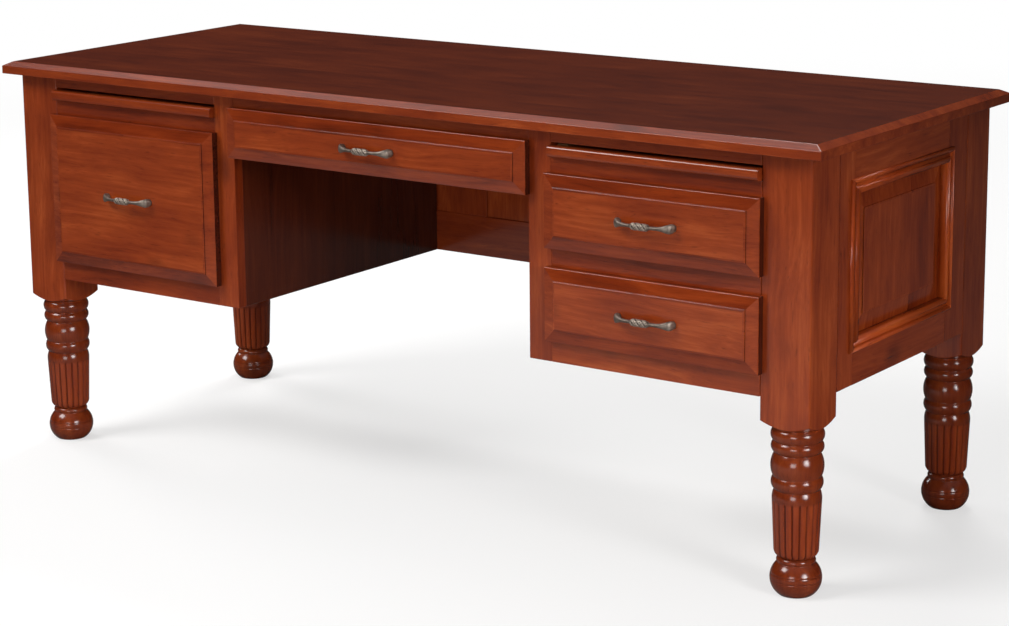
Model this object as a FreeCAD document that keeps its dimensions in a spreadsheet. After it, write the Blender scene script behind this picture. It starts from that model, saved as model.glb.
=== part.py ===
"""Writing desk: a slab top on two drawer pedestals, four corner posts with turned, reeded legs.

Millimetres. +X is the desk's right, -Y its front, +Z up. The origin is on the floor, under the middle.
"""
import FreeCAD
import Part
import Sketcher
import os
import re

Vector = FreeCAD.Vector

# Driving sizes, one row each: alias, value, meaning
SIZES = [
    ("desk_width", 1829, "top, left to right"),
    ("desk_depth", 711, "top, front to back"),
    ("desk_height", 775, "floor to upper face of the top"),
    ("top_thick", 23.5, "thickness of the top"),
    ("top_bevel_wide", 16, "bevel round the top, seen from above"),
    ("top_bevel_tall", 8, "bevel round the top, seen from the side"),
    ("overhang_front", 26, "top past the front frame"),
    ("overhang_back", 26, "top past the back posts"),
    ("overhang_side", 27.5, "top past the side frames"),
    ("post_side", 93, "square of the corner post"),
    ("post_arris", 1.5, "small bevel along the post's edges"),
    ("case_bottom", 343.5, "floor to the lower edge of the rails"),
    ("shoulder_height", 304, "floor to the end of the post's corner edges"),
    ("collar_radius", 40, "turning, just under the square"),
    ("collar_height", 289.3, "turning, just under the square"),
    ("bead_one_radius", 45, "first bead"),
    ("bead_one_height", 277.4, "first bead"),
    ("cove_one_radius", 40.2, "groove under the first bead"),
    ("cove_one_height", 266.5, "groove under the first bead"),
    ("bead_two_radius", 44.3, "second bead"),
    ("bead_two_height", 257, "second bead"),
    ("cove_two_radius", 38.4, "groove under the second bead"),
    ("cove_two_height", 246.5, "groove under the second bead"),
    ("ball_radius", 44.7, "flattened ball"),
    ("ball_height", 225.5, "flattened ball"),
    ("cove_three_radius", 40.6, "groove under the ball"),
    ("cove_three_height", 205.8, "groove under the ball"),
    ("bead_three_radius", 43.8, "third bead"),
    ("bead_three_height", 195.5, "third bead"),
    ("cove_four_radius", 38.4, "groove over the vase"),
    ("cove_four_height", 183.2, "groove over the vase"),
    ("dome_radius", 41, "rounded top of the vase"),
    ("dome_height", 175.5, "rounded top of the vase"),
    ("vase_top_radius", 41.8, "vase where the reeds start"),
    ("vase_top_height", 166, "vase where the reeds start"),
    ("vase_low_radius", 38, "vase where the reeds round in"),
    ("vase_low_height", 78.6, "vase where the reeds round in"),
    ("reed_count", 20, "reeds round the vase"),
    ("reed_depth", 3.2, "depth of the valleys between reeds"),
    ("reed_valley", 5, "width of the valleys between reeds"),
    ("reed_end_radius", 35, "middle of the reeds' rounded lower ends"),
    ("reed_end_height", 70.4, "middle of the reeds' rounded lower ends"),
    ("neck_radius", 27.7, "neck over the foot"),
    ("neck_height", 66.4, "neck over the foot"),
    ("foot_bead_radius", 33.1, "small bead over the foot"),
    ("foot_bead_height", 61.4, "small bead over the foot"),
    ("foot_dip_radius", 32, "line between the small bead and the foot"),
    ("foot_dip_height", 56, "line between the small bead and the foot"),
    ("foot_radius", 43.8, "ball foot"),
    ("foot_height", 32.9, "widest line of the ball foot"),
    ("foot_ring_radius", 29, "flat that stands on the floor"),
    ("foot_ring_height", 0, "flat that stands on the floor"),
    ("chord_length", 9, "flats along the rounds of the turning"),
    ("frame_thick", 22, "front, side and back frames"),
    ("back_inset", 10, "back frame in from the posts' back faces"),
    ("kneehole_width", 670, "between the inner boards"),
    ("stile_width", 46, "inner stiles of the front frame"),
    ("top_rail_tall", 22, "rail over the writing boards"),
    ("slot_tall", 24.5, "slot of a writing board"),
    ("slot_rail_tall", 32, "rail under a writing board"),
    ("drawer_rail_tall", 43, "rail between the right drawers"),
    ("bottom_rail_tall", 44.5, "lowest rail of a pedestal"),
    ("kneehole_rail_tall", 26.5, "rail over the kneehole"),
    ("inner_board_thick", 19, "boards at the sides of the kneehole"),
    ("bottom_thick", 12, "pedestal bottoms"),
    ("bottom_lift", 6, "pedestal bottoms over the rails' lower edge"),
    ("side_stile_front", 51, "front stile of a side frame"),
    ("side_stile_back", 71, "back stile of a side frame"),
    ("side_rail_tall", 70, "rails of a side frame"),
    ("back_stile_width", 70, "end stiles of the back frame"),
    ("back_rail_tall", 83, "rails of the back frame"),
    ("muntin_width", 103, "upright members between the back panels"),
    ("groove_deep", 9, "panel groove in a frame member"),
    ("tongue_thick", 6, "edge of a panel in its groove"),
    ("tongue_reach", 8, "panel into its groove"),
    ("fit_gap", 0.2, "clearance of a glued or loose fit, each side"),
    ("cut_past", 1, "cutters past the faces they open"),
    ("panel_back", 4, "panel's back face from the frame's back face"),
    ("panel_bevel_wide", 30, "sloping border of a raised panel"),
    ("panel_bevel_rise", 6, "rise of that border"),
    ("panel_step", 2, "step up to the panel's field"),
    ("moulding_wide", 26, "applied moulding round a panel"),
    ("moulding_seat", 13, "moulding's seat on the frame"),
    ("moulding_proud", 6, "highest line of the moulding"),
    ("moulding_edge", 3, "outer edge of the moulding"),
    ("moulding_round", 1.2, "rounding of the moulding's beads"),
    ("moulding_bead", 6, "outer bead of the moulding"),
    ("moulding_crest", 18, "start of the inner bead"),
    ("moulding_hollow", 1.6, "lowest line of its hollow"),
    ("front_overlay", 5, "drawer fronts past their openings"),
    ("centre_overlay", 3, "centre front past the kneehole's sides"),
    ("centre_front_tall", 95, "centre drawer front"),
    ("front_gap", 1, "drawer fronts from the front frame"),
    ("front_edge_thick", 14, "drawer front at its edge"),
    ("front_bevel_wide", 22, "sloping border of a drawer front"),
    ("front_bevel_rise", 5, "rise of that border"),
    ("front_step", 2.5, "step up to the field"),
    ("box_board", 12, "sides and ends of a drawer box"),
    ("box_bottom", 6, "bottom of a drawer box"),
    ("box_bottom_lift", 10, "that bottom over the box's lower edge"),
    ("box_groove", 5, "groove that holds the box bottom"),
    ("box_lift", 12, "drawer box over the lower edge of its opening"),
    ("right_box_tall", 92, "boxes of the right drawers"),
    ("file_box_tall", 245, "box of the file drawer"),
    ("centre_box_tall", 60, "box of the centre drawer"),
    ("centre_box_drop", 12, "centre box under its opening's upper edge"),
    ("drawer_back_gap", 78, "pedestal drawer boxes short of the back frame"),
    ("centre_back_gap", 178, "centre drawer box short of the back frame"),
    ("slide_space", 13, "drawer slide, case to box"),
    ("slide_tall", 45, "drawer slide"),
    ("slide_steel", 1.5, "sheet of the slide members"),
    ("slide_gap", 0.5, "running gap between slide members"),
    ("slide_nest", 2.5, "case channel's lips short of the box"),
    ("slide_setback", 4, "slides behind the front frame's face"),
    ("slide_short", 6, "drawer runner shorter than its box"),
    ("cleat_thick", 20, "cleats between the posts"),
    ("cleat_tall", 50, "cleats behind the slides"),
    ("cleat_back_gap", 27, "inner cleats short of the back frame"),
    ("board_thick", 19, "writing board"),
    ("board_back_gap", 87, "writing board short of the back frame"),
    ("board_gap", 1, "writing board from its slot, each side"),
    ("board_float", 0.3, "writing board over its runners"),
    ("edge_tall", 20, "edge strip of a writing board"),
    ("edge_proud", 14, "edge strip past the front frame"),
    ("edge_inside", 4, "edge strip behind the frame's face"),
    ("edge_round", 6, "rounding of the edge strip"),
    ("runner_tall", 18, "runners under the writing boards"),
    ("runner_reach", 20, "runners under the board's edge"),
    ("keeper_gap", 0.5, "keepers over the writing board"),
    ("pull_centres", 108, "between a pull's screws"),
    ("pull_projection", 26.5, "pull, out from the drawer front"),
    ("pull_foot_wide", 16, "pull's foot along the pull"),
    ("pull_foot_tall", 17, "pull's foot, upright"),
    ("pull_bar_tall", 8, "bar of the pull, upright"),
    ("pull_grip_thick", 11, "swollen middle of the pull"),
    ("pull_grip_tall", 14, "swollen middle, upright"),
    ("pull_grip_long", 38, "swollen middle along the pull"),
    ("pull_lean_in", 3, "foot's outer side leans in by this"),
    ("pull_lean_out", 12, "end of that lean, out from the front"),
    ("pull_bow_start", 22.2, "start of the bow, out from the front"),
    ("pull_bow_inset", 1.6, "start of the bow, in from the foot"),
    ("pull_hollow_start", 13, "start of the bow's inner side, out from the front"),
    ("pull_hollow_inset", 11, "start of the bow's inner side, in from the foot"),
    ("pull_heel_out", 7.8, "end of the foot's inner side, out from the front"),
    ("pull_foot_end", 10.2, "foot's outer edge, upright"),
    ("pull_foot_crown", 5.6, "foot's tallest line, in from its outer edge"),
    ("pull_neck_tall", 12.5, "neck between foot and bar, upright"),
    ("pull_neck_inset", 9.6, "start of the bar, in from the foot"),
    ("screw_radius", 2, "pull screws"),
    ("screw_head_radius", 4, "heads of the pull screws"),
    ("screw_head_tall", 2.5, "heads of the pull screws"),
    ("screw_into_pull", 8, "pull screws into the foot"),
    ("hanger_thick", 3, "hanging-file rails"),
    ("hanger_tall", 14, "hanging-file rails"),
    ("hanger_rise", 6, "hanging-file rails over the box sides"),
    ("top_screw_radius", 2.2, "screws through the keepers into the top"),
    ("top_screw_head_radius", 4.2, "heads of those screws"),
    ("top_screw_head_tall", 3, "heads of those screws"),
    ("top_screw_bore", 11, "depth of the bore for a head"),
    ("top_screw_into_top", 13, "those screws into the top"),
    ("top_screw_inset", 60, "those screws from the outer keepers' ends"),
]

# Sizes that follow from the driving ones: alias, formula
FOLLOWING = [
    ("case_top", "desk_height - top_thick"),
    ("side_x", "desk_width / 2 - overhang_side"),
    ("post_x", "side_x - post_side"),
    ("inner_x", "kneehole_width / 2"),
    ("board_x", "inner_x + inner_board_thick"),
    ("opening_x", "inner_x + stile_width"),
    ("front_thick", "front_edge_thick + front_bevel_rise + front_step"),
    ("pull_reach", "front_gap + front_thick + pull_projection"),
    ("front_y", "-(desk_depth - overhang_front - pull_reach) / 2"),
    ("back_y", "front_y + desk_depth - overhang_front - overhang_back"),
    ("post_back_y", "back_y - post_side"),
    ("post_front_y", "front_y + post_side"),
    ("frame_y", "front_y + frame_thick"),
    ("back_out_y", "back_y - back_inset"),
    ("back_in_y", "back_out_y - frame_thick"),
    ("slot_top", "case_top - top_rail_tall"),
    ("slot_low", "slot_top - slot_tall"),
    ("drawers_top", "slot_low - slot_rail_tall"),
    ("drawers_low", "case_bottom + bottom_rail_tall"),
    ("opening_tall", "(drawers_top - drawers_low - drawer_rail_tall) / 2"),
    ("opening_width", "post_x - opening_x"),
    ("kneehole_top", "case_top - kneehole_rail_tall"),
    ("side_panel_wide", "post_back_y - post_front_y - side_stile_front - side_stile_back"),
    ("side_panel_tall", "case_top - case_bottom - 2 * side_rail_tall"),
    ("back_panel_wide", "(2 * post_x - 2 * back_stile_width - 2 * muntin_width) / 3"),
    ("back_panel_tall", "case_top - case_bottom - 2 * back_rail_tall"),
    ("groove_thick", "tongue_thick + 2 * fit_gap"),
    ("moulding_reach", "moulding_wide - moulding_seat"),
    ("panel_border", "panel_bevel_wide + moulding_reach"),
    ("panel_at_lip", "panel_bevel_rise * moulding_reach / panel_border"),
    ("moulding_lip", "frame_thick - panel_back - tongue_thick - panel_at_lip - fit_gap"),
    ("board_low", "slot_low + board_float"),
    ("keeper_low", "board_low + board_thick + keeper_gap"),
    ("box_width", "opening_width - 2 * slide_space"),
    ("centre_box_width", "kneehole_width - 2 * slide_space"),
    ("field_y", "front_y - front_gap - front_thick"),
    ("front_back_y", "front_y - front_gap"),
    ("drawer_depth", "back_in_y - drawer_back_gap - front_back_y"),
    ("centre_depth", "back_in_y - centre_back_gap - front_back_y"),
]

doc = FreeCAD.newDocument("writing_desk")
sheet = doc.addObject("Spreadsheet::Sheet", "dims")
for row, (alias, number, meaning) in enumerate(SIZES, start=1):
    sheet.set(f"A{row}", meaning)
    sheet.set(f"B{row}", str(number))
    sheet.setAlias(f"B{row}", alias)
for row, (alias, formula) in enumerate(FOLLOWING, start=len(SIZES) + 1):
    sheet.set(f"B{row}", "=" + formula)
    sheet.setAlias(f"B{row}", alias)
doc.recompute()

ALIASES = {entry[0] for entry in SIZES + FOLLOWING}
SIDES = (("left", -1), ("right", 1))
FASTENER_SIDES = 8
nodes = []


def on_sheet(formula):
    """Puts the sheet's name before each alias in a formula."""
    return re.sub(r"[a-z][a-z0-9_]*", lambda word: ("dims." if word[0] in ALIASES else "") + word[0], formula)


def value(formula):
    """What a formula comes to, as a plain number."""
    result = sheet.evalExpression(on_sheet(formula))
    return float(getattr(result, "Value", result))


def bind(piece, size, formula):
    """Ties one property of an object to a formula of the sheet's sizes."""
    piece.setExpression(size, on_sheet(formula))


def place(piece, x="0", y="0", z="0", turn=0):
    """Puts an object at three formulas, turned about the vertical by an angle in degrees."""
    piece.Placement = FreeCAD.Placement(Vector(0, 0, 0), FreeCAD.Rotation(Vector(0, 0, 1), turn))
    for axis, formula in zip("xyz", (x, y, z)):
        bind(piece, f"Placement.Base.{axis}", formula)


def node(label, *pieces):
    """Names one sub-part: a single solid, or several like solids as a group."""
    if len(pieces) == 1:
        part = pieces[0]
    else:
        part = doc.addObject("Part::Compound", label + "_group")
        part.Links = list(pieces)
    part.Label = label
    nodes.append(part)


def box(x, y, z):
    """A block from one formula to another along each axis."""
    block = doc.addObject("Part::Box", "block")
    for size, axis, (low, high) in (("Length", "x", x), ("Width", "y", y), ("Height", "z", z)):
        bind(block, size, f"({high}) - ({low})")
        bind(block, f"Placement.Base.{axis}", low)
    return block


def across(side, low, high):
    """A stretch along X on the right (side 1) or its mirror image on the left (side -1)."""
    return (low, high) if side > 0 else (f"-({high})", f"-({low})")


def rod(radius, x, low, high, z=None, y=None):
    """A many-sided rod along Y (when z is given) or along Z (when y is given), for screws and their holes."""
    bar = doc.addObject("Part::Prism", "rod")
    bar.Polygon = FASTENER_SIDES
    bind(bar, "Circumradius", radius)
    bind(bar, "Height", f"({high}) - ({low})")
    if y is None:
        bar.Placement = FreeCAD.Placement(Vector(0, 0, 0), FreeCAD.Rotation(Vector(1, 0, 0), -90))
    for axis, formula in zip("xyz", (x, low if y is None else y, low if z is None else z)):
        bind(bar, f"Placement.Base.{axis}", formula)
    return bar


def cut(solid, *tools):
    """A solid less one or more tools."""
    result = doc.addObject("Part::Cut", "cut")
    result.Base = solid
    if len(tools) == 1:
        result.Tool = tools[0]
    else:
        result.Tool = doc.addObject("Part::Compound", "tools")
        result.Tool.Links = list(tools)
    return result


def fuse(*pieces):
    """Several solids made into one."""
    result = doc.addObject("Part::MultiFuse", "fuse")
    result.Shapes = list(pieces)
    return result


def sketch_on(body, role, height="0"):
    """A sketch on one of the body's own origin planes, raised by a formula."""
    sketch = body.newObject("Sketcher::SketchObject", "sketch")
    plane = next(feature for feature in body.Origin.OriginFeatures if feature.Role == role)
    sketch.AttachmentSupport = [(plane, "")]
    sketch.MapMode = "FlatFace"
    bind(sketch, "AttachmentOffset.Base.z", height)
    return sketch


def hold(sketch, geometry, end, x, y):
    """Holds one point of a sketch at two formulas from its origin."""
    for kind, formula in (("DistanceX", x), ("DistanceY", y)):
        index = sketch.addConstraint(Sketcher.Constraint(kind, -1, 1, geometry, end, value(formula)))
        bind(sketch, f"Constraints[{index}]", formula)


def rectangle(sketch, wide, tall):
    """A rectangle centred on the sketch's origin."""
    half_wide = value(wide) / 2
    half_tall = value(tall) / 2
    corners = [Vector(-half_wide, -half_tall), Vector(half_wide, -half_tall),
               Vector(half_wide, half_tall), Vector(-half_wide, half_tall)]
    for line in range(4):
        sketch.addGeometry(Part.LineSegment(corners[line], corners[(line + 1) % 4]))
    for line in range(4):
        sketch.addConstraint(Sketcher.Constraint("Coincident", line, 2, (line + 1) % 4, 1))
        sketch.addConstraint(Sketcher.Constraint(("Horizontal", "Vertical")[line % 2], line))
    sketch.addConstraint(Sketcher.Constraint("Symmetric", 0, 1, 2, 1, -1, 1))
    for kind, line, formula in (("DistanceX", 0, wide), ("DistanceY", 1, tall)):
        index = sketch.addConstraint(Sketcher.Constraint(kind, line, 1, line, 2, value(formula)))
        bind(sketch, f"Constraints[{index}]", formula)


def outline(sketch, points):
    """A closed outline through (kind, x, y) points.

    Corners are joined by lines, or by an arc where a crest that the arc passes through stands between them.
    """
    spots = [(kind, x, y, Vector(value(x), value(y))) for kind, x, y in points]
    corners = [index for index, spot in enumerate(spots) if spot[0] == "corner"]
    ends = []
    for start, stop in zip(corners, corners[1:] + corners[:1]):
        begin = spots[start][3]
        finish = spots[stop][3]
        middle = spots[(start + 1) % len(spots)]
        if middle[0] == "crest":
            curve = sketch.addGeometry(Part.Arc(begin, middle[3], finish))
            crest = sketch.addGeometry(Part.Point(middle[3]), True)
            sketch.addConstraint(Sketcher.Constraint("PointOnObject", crest, 1, curve))
            hold(sketch, crest, 1, middle[1], middle[2])
        else:
            curve = sketch.addGeometry(Part.LineSegment(begin, finish))
        forward = (sketch.getPoint(curve, 1) - begin).Length < (sketch.getPoint(curve, 2) - begin).Length
        ends.append((curve, 1 if forward else 2, 2 if forward else 1))
    for number, (curve, first, last) in enumerate(ends):
        follower = ends[(number + 1) % len(ends)]
        sketch.addConstraint(Sketcher.Constraint("Coincident", curve, last, follower[0], follower[1]))
        hold(sketch, curve, first, spots[corners[number]][1], spots[corners[number]][2])


def new_body(name):
    """An empty body."""
    return doc.addObject("PartDesign::Body", name)


def pad(body, sketch, length, middle=False):
    """A sketch thickened along its normal, or to both sides of its plane."""
    feature = body.newObject("PartDesign::Pad", "pad")
    feature.Profile = sketch
    feature.SideType = "Symmetric" if middle else "One side"
    bind(feature, "Length", length)
    return feature


def tapered(wide, tall, border, deep):
    """A low block facing +Y, with its back at y = 0, whose four sides slope in by a border."""
    block = doc.addObject("Part::Wedge", "tapered")
    for size, formula in (("Xmin", f"-{wide} / 2"), ("Xmax", f"{wide} / 2"), ("Zmin", f"-{tall} / 2"),
                          ("Zmax", f"{tall} / 2"), ("X2min", f"{border} - {wide} / 2"),
                          ("X2max", f"{wide} / 2 - {border}"), ("Z2min", f"{border} - {tall} / 2"),
                          ("Z2max", f"{tall} / 2 - {border}"), ("Ymin", "0"), ("Ymax", deep)):
        bind(block, size, formula)
    return block


def desk_top():
    """The slab: a square-edged lower band, and a bevel up to the smaller upper face."""
    middle_y = "(front_y - overhang_front + desk_depth / 2)"
    band = box(("-desk_width / 2", "desk_width / 2"),
               (f"{middle_y} - desk_depth / 2", f"{middle_y} + desk_depth / 2"),
               ("case_top", "desk_height - top_bevel_tall"))
    bevel = tapered("desk_width", "desk_depth", "top_bevel_wide", "top_bevel_tall")
    bevel.Placement = FreeCAD.Placement(Vector(0, 0, 0), FreeCAD.Rotation(Vector(1, 0, 0), 90))
    bind(bevel, "Placement.Base.y", middle_y)
    bind(bevel, "Placement.Base.z", "desk_height - top_bevel_tall")
    return fuse(band, bevel)


# The leg's turning from the square down: corners, and crests that a round passes through between two corners
TURNING = [
    ("corner", "collar"), ("crest", "bead_one"), ("corner", "cove_one"), ("crest", "bead_two"),
    ("corner", "cove_two"), ("crest", "ball"), ("corner", "cove_three"), ("crest", "bead_three"),
    ("corner", "cove_four"), ("crest", "dome"), ("corner", "vase_top"), ("corner", "vase_low"),
    ("crest", "reed_end"), ("corner", "neck"), ("crest", "foot_bead"), ("corner", "foot_dip"),
    ("crest", "foot"), ("corner", "foot_ring"),
]


def lathe_line():
    """The turning's outline as (radius, 0, height) points, with each round as chords of its arc."""
    spots = [(kind, Vector(value(f"{name}_radius"), 0, value(f"{name}_height"))) for kind, name in TURNING]
    line = []
    for number, (kind, spot) in enumerate(spots):
        if kind == "corner":
            line.append(spot)
        else:
            arc = Part.Arc(line[-1], spot, spots[number + 1][1]).toShape()
            chords = max(2, round(arc.Length / value("chord_length")))
            line += arc.discretize(Number=chords + 1)[1:-1]
    return line


def turning():
    """The lathe work under the square, with one flat to each reed: rings of corners joined by flat faces."""
    sides = round(value("reed_count"))
    turns = [FreeCAD.Rotation(Vector(0, 0, 1), 360 * side / sides) for side in range(sides)]
    rings = []
    for spot in lathe_line():
        corners = [turn.multVec(spot) for turn in turns]
        rings.append(corners + corners[:1])
    faces = [Part.Face(Part.makePolygon(ring)) for ring in (rings[0], rings[-1])]
    for upper, lower in zip(rings, rings[1:]):
        for side in range(sides):
            edge = [upper[side], upper[side + 1], lower[side + 1], lower[side], upper[side]]
            faces.append(Part.Face(Part.makePolygon(edge)))
    solid = Part.makeSolid(Part.makeShell(faces))
    if solid.Volume < 0:
        solid.reverse()
    form = doc.addObject("Part::Feature", "turning")
    form.Shape = solid
    return form


def reeded(form):
    """The turning with V-shaped valleys cut down its vase, which leave the reeds between them."""
    body = new_body("reeded")
    body.BaseFeature = form
    valley_ends = []
    for radius, height in (("vase_low_radius", "neck_height"), ("vase_top_radius", "vase_top_height")):
        sketch = sketch_on(body, "XY_Plane", height)
        half_wide = "reed_valley / 2 * (reed_depth + cut_past) / reed_depth"
        outline(sketch, [
            ("corner", f"{radius} - reed_depth", "0"),
            ("corner", f"{radius} + cut_past", half_wide),
            ("corner", f"{radius} + cut_past", f"-{half_wide}"),
        ])
        valley_ends.append(sketch)
    valley = body.newObject("PartDesign::SubtractiveLoft", "valley")
    valley.Profile = valley_ends[0]
    valley.Sections = valley_ends[1:]
    valley.Ruled = True
    reeds = body.newObject("PartDesign::PolarPattern", "reeds")
    reeds.Originals = [valley]
    reeds.Axis = (valley_ends[0], ["N_Axis"])
    reeds.Angle = 360
    bind(reeds, "Occurrences", "reed_count")
    body.Tip = reeds
    return body


def post():
    """The square post, its long edges eased, its lower corners turned away to a cone."""
    body = new_body("post")
    square = sketch_on(body, "XY_Plane", "collar_height")
    rectangle(square, "post_side", "post_side")
    column = pad(body, square, "case_top - collar_height")
    doc.recompute()
    upright = [f"Edge{number}" for number, edge in enumerate(column.Shape.Edges, start=1)
               if abs(edge.Vertexes[0].Z - edge.Vertexes[-1].Z) > 1]
    arris = body.newObject("PartDesign::Chamfer", "arris")
    arris.Base = (column, upright)
    bind(arris, "Size", "post_arris")
    shoulder = sketch_on(body, "XZ_Plane")
    outline(shoulder, [
        ("corner", "post_side / sqrt(2)", "shoulder_height"),
        ("corner", "collar_radius", "collar_height"),
        ("corner", "post_side", "collar_height"),
        ("corner", "post_side", "shoulder_height"),
    ])
    cone = body.newObject("PartDesign::Groove", "cone")
    cone.Profile = shoulder
    cone.ReferenceAxis = (shoulder, ["V_Axis"])
    cone.Angle = 360
    return body


def leg(side, middle_y):
    """A corner post whose lower end is turned on the lathe, with reeds round the vase."""
    whole = fuse(post(), reeded(turning()))
    place(whole, f"{side} * (side_x - post_side / 2)", middle_y)
    return whole


def raised_board(wide, tall, lip, edge, bevel_wide, bevel_rise, step):
    """A board facing +Y: a flat lip at its edge, a sloping border, a raised field; its back lies at y = 0."""
    half_wide = f"{wide} / 2"
    half_tall = f"{tall} / 2"
    board = box((f"-{half_wide}", half_wide), ("0", edge), (f"-{half_tall}", half_tall))
    border = tapered(f"({wide} - 2 * {lip})", f"({tall} - 2 * {lip})", bevel_wide, bevel_rise)
    bind(border, "Placement.Base.y", edge)
    inset = f"({lip} + {bevel_wide})"
    field = box((f"{inset} - {half_wide}", f"{half_wide} - {inset}"),
                ("0", f"{edge} + {bevel_rise} + {step}"),
                (f"{inset} - {half_tall}", f"{half_tall} - {inset}"))
    return fuse(board, border, field)


def moulding_strip(length):
    """One mitred strip along X, facing -Y, its outer edge down: a bead, a hollow and a higher bead."""
    body = new_body("moulding")
    section = sketch_on(body, "YZ_Plane")
    outline(section, [
        ("corner", "0", "0"),
        ("corner", "-moulding_edge", "0"),
        ("corner", "-moulding_edge - moulding_round", "moulding_round"),
        ("corner", "-moulding_edge - moulding_round", "moulding_bead - moulding_round"),
        ("corner", "-moulding_hollow", "moulding_bead"),
        ("corner", "-moulding_hollow", "moulding_crest - moulding_bead"),
        ("corner", "-moulding_proud", "moulding_crest"),
        ("corner", "-moulding_proud", "moulding_wide - moulding_round"),
        ("corner", "-moulding_proud + moulding_round", "moulding_wide"),
        ("corner", "moulding_lip", "moulding_wide"),
        ("corner", "moulding_lip", "moulding_seat + fit_gap"),
        ("corner", "0", "moulding_seat + fit_gap"),
    ])
    pad(body, section, length, middle=True)
    mitre = sketch_on(body, "XZ_Plane")
    for hand in ("", "-"):
        outline(mitre, [
            ("corner", f"{hand}({length} / 2)", "0"),
            ("corner", f"{hand}({length} / 2 - moulding_wide)", "moulding_wide"),
            ("corner", f"{hand}({length} / 2)", "moulding_wide"),
        ])
    ends = body.newObject("PartDesign::Pocket", "mitres")
    ends.Profile = mitre
    ends.SideType = "Symmetric"
    bind(ends, "Length", "4 * moulding_proud")
    return body


def moulding(wide, tall, x, y, z, turn):
    """Four mitred strips round a panel opening, with their seat on the frame's face."""
    strips = []
    outer_wide = f"({wide} + 2 * moulding_seat)"
    outer_tall = f"({tall} + 2 * moulding_seat)"
    facing = FreeCAD.Rotation(Vector(0, 0, 1), turn)
    along = facing.multVec(Vector(1, 0, 0))
    for length, lift, spin in ((outer_wide, outer_tall, 0), (outer_tall, outer_wide, 90),
                               (outer_wide, outer_tall, 180), (outer_tall, outer_wide, 270)):
        strip = moulding_strip(length)
        rolled = FreeCAD.Rotation(Vector(0, 1, 0), -spin)
        outward = rolled.multVec(Vector(0, 0, -1))
        strip.Placement = FreeCAD.Placement(Vector(0, 0, 0), facing * rolled)
        bind(strip, "Placement.Base.x", f"{x} + {round(outward.x * along.x)} * {lift} / 2")
        bind(strip, "Placement.Base.y", f"{y} + {round(outward.x * along.y)} * {lift} / 2")
        bind(strip, "Placement.Base.z", f"{z} + {round(outward.z)} * {lift} / 2")
        strips.append(strip)
    return strips


def side_frame(side):
    """Two stiles and two rails between the posts, each with its panel groove."""
    x = across(side, "side_x - frame_thick", "side_x")
    groove_x = across(side, "side_x - frame_thick + panel_back - fit_gap",
                      "side_x - frame_thick + panel_back + tongue_thick + fit_gap")
    inside_front = "post_front_y + side_stile_front"
    inside_back = "post_back_y - side_stile_back"
    inside_low = "case_bottom + side_rail_tall"
    inside_top = "case_top - side_rail_tall"
    height = ("case_bottom", "case_top")
    groove = box(groove_x, (f"{inside_front} - groove_deep", f"{inside_back} + groove_deep"),
                 (f"{inside_low} - groove_deep", f"{inside_top} + groove_deep"))
    members = [
        box(x, ("post_front_y", inside_front), height),
        box(x, (inside_back, "post_back_y"), height),
        box(x, (inside_front, inside_back), ("case_bottom", inside_low)),
        box(x, (inside_front, inside_back), (inside_top, "case_top")),
    ]
    return [cut(member, groove) for member in members]


def side_panel(side):
    """The raised panel, its tongue in the frame's grooves, with its moulding strips."""
    middle_y = "(post_front_y + side_stile_front + post_back_y - side_stile_back) / 2"
    middle_z = "(case_bottom + case_top) / 2"
    turn = 90 * side
    panel = raised_board("(side_panel_wide + 2 * tongue_reach)", "(side_panel_tall + 2 * tongue_reach)",
                         "tongue_reach", "tongue_thick", "panel_border", "panel_bevel_rise", "panel_step")
    place(panel, f"{side} * (side_x - frame_thick + panel_back)", middle_y, middle_z, turn + 180)
    strips = moulding("side_panel_wide", "side_panel_tall", f"{side} * side_x", middle_y, middle_z, turn)
    return panel, strips


def back_frame():
    """Two end stiles, two rails and two muntins, each with its panel groove."""
    y = ("back_in_y", "back_out_y")
    groove_y = ("back_in_y + panel_back - fit_gap", "back_in_y + panel_back + tongue_thick + fit_gap")
    inside_x = "post_x - back_stile_width"
    inside_low = "case_bottom + back_rail_tall"
    inside_top = "case_top - back_rail_tall"
    groove = box((f"-({inside_x}) - groove_deep", f"{inside_x} + groove_deep"), groove_y,
                 (f"{inside_low} - groove_deep", f"{inside_top} + groove_deep"))
    rails = [box((f"-({inside_x})", inside_x), y, ("case_bottom", inside_low)),
             box((f"-({inside_x})", inside_x), y, (inside_top, "case_top"))]
    members = [cut(rail, groove) for rail in rails]
    for _, side in SIDES:
        stile = box(across(side, inside_x, "post_x"), y, ("case_bottom", "case_top"))
        members.append(cut(stile, groove))
        inner = "back_panel_wide / 2"
        outer = "back_panel_wide / 2 + muntin_width"
        height = (inside_low, inside_top)
        muntin = box(across(side, inner, outer), y, height)
        cheeks = [box(across(side, f"{inner} - cut_past", f"{inner} + groove_deep"), groove_y, height),
                  box(across(side, f"{outer} - groove_deep", f"{outer} + cut_past"), groove_y, height)]
        members.append(cut(muntin, *cheeks))
    return members


def back_panels():
    """Three raised panels that face the back, with their moulding strips."""
    panels = []
    strips = []
    middle_z = "(case_bottom + case_top) / 2"
    for number in (-1, 0, 1):
        x = f"{number} * (back_panel_wide + muntin_width)"
        panel = raised_board("(back_panel_wide + 2 * tongue_reach)", "(back_panel_tall + 2 * tongue_reach)",
                             "tongue_reach", "tongue_thick", "panel_border", "panel_bevel_rise", "panel_step")
        place(panel, x, "back_in_y + panel_back", middle_z)
        panels.append(panel)
        strips += moulding("back_panel_wide", "back_panel_tall", x, "back_out_y", middle_z, 180)
    return panels, strips


def front_rails(side, levels):
    """Rails of one pedestal's front frame, between the inner stile and the post."""
    x = across(side, "opening_x", "post_x")
    return [box(x, ("front_y", "frame_y"), level) for level in levels]


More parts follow.
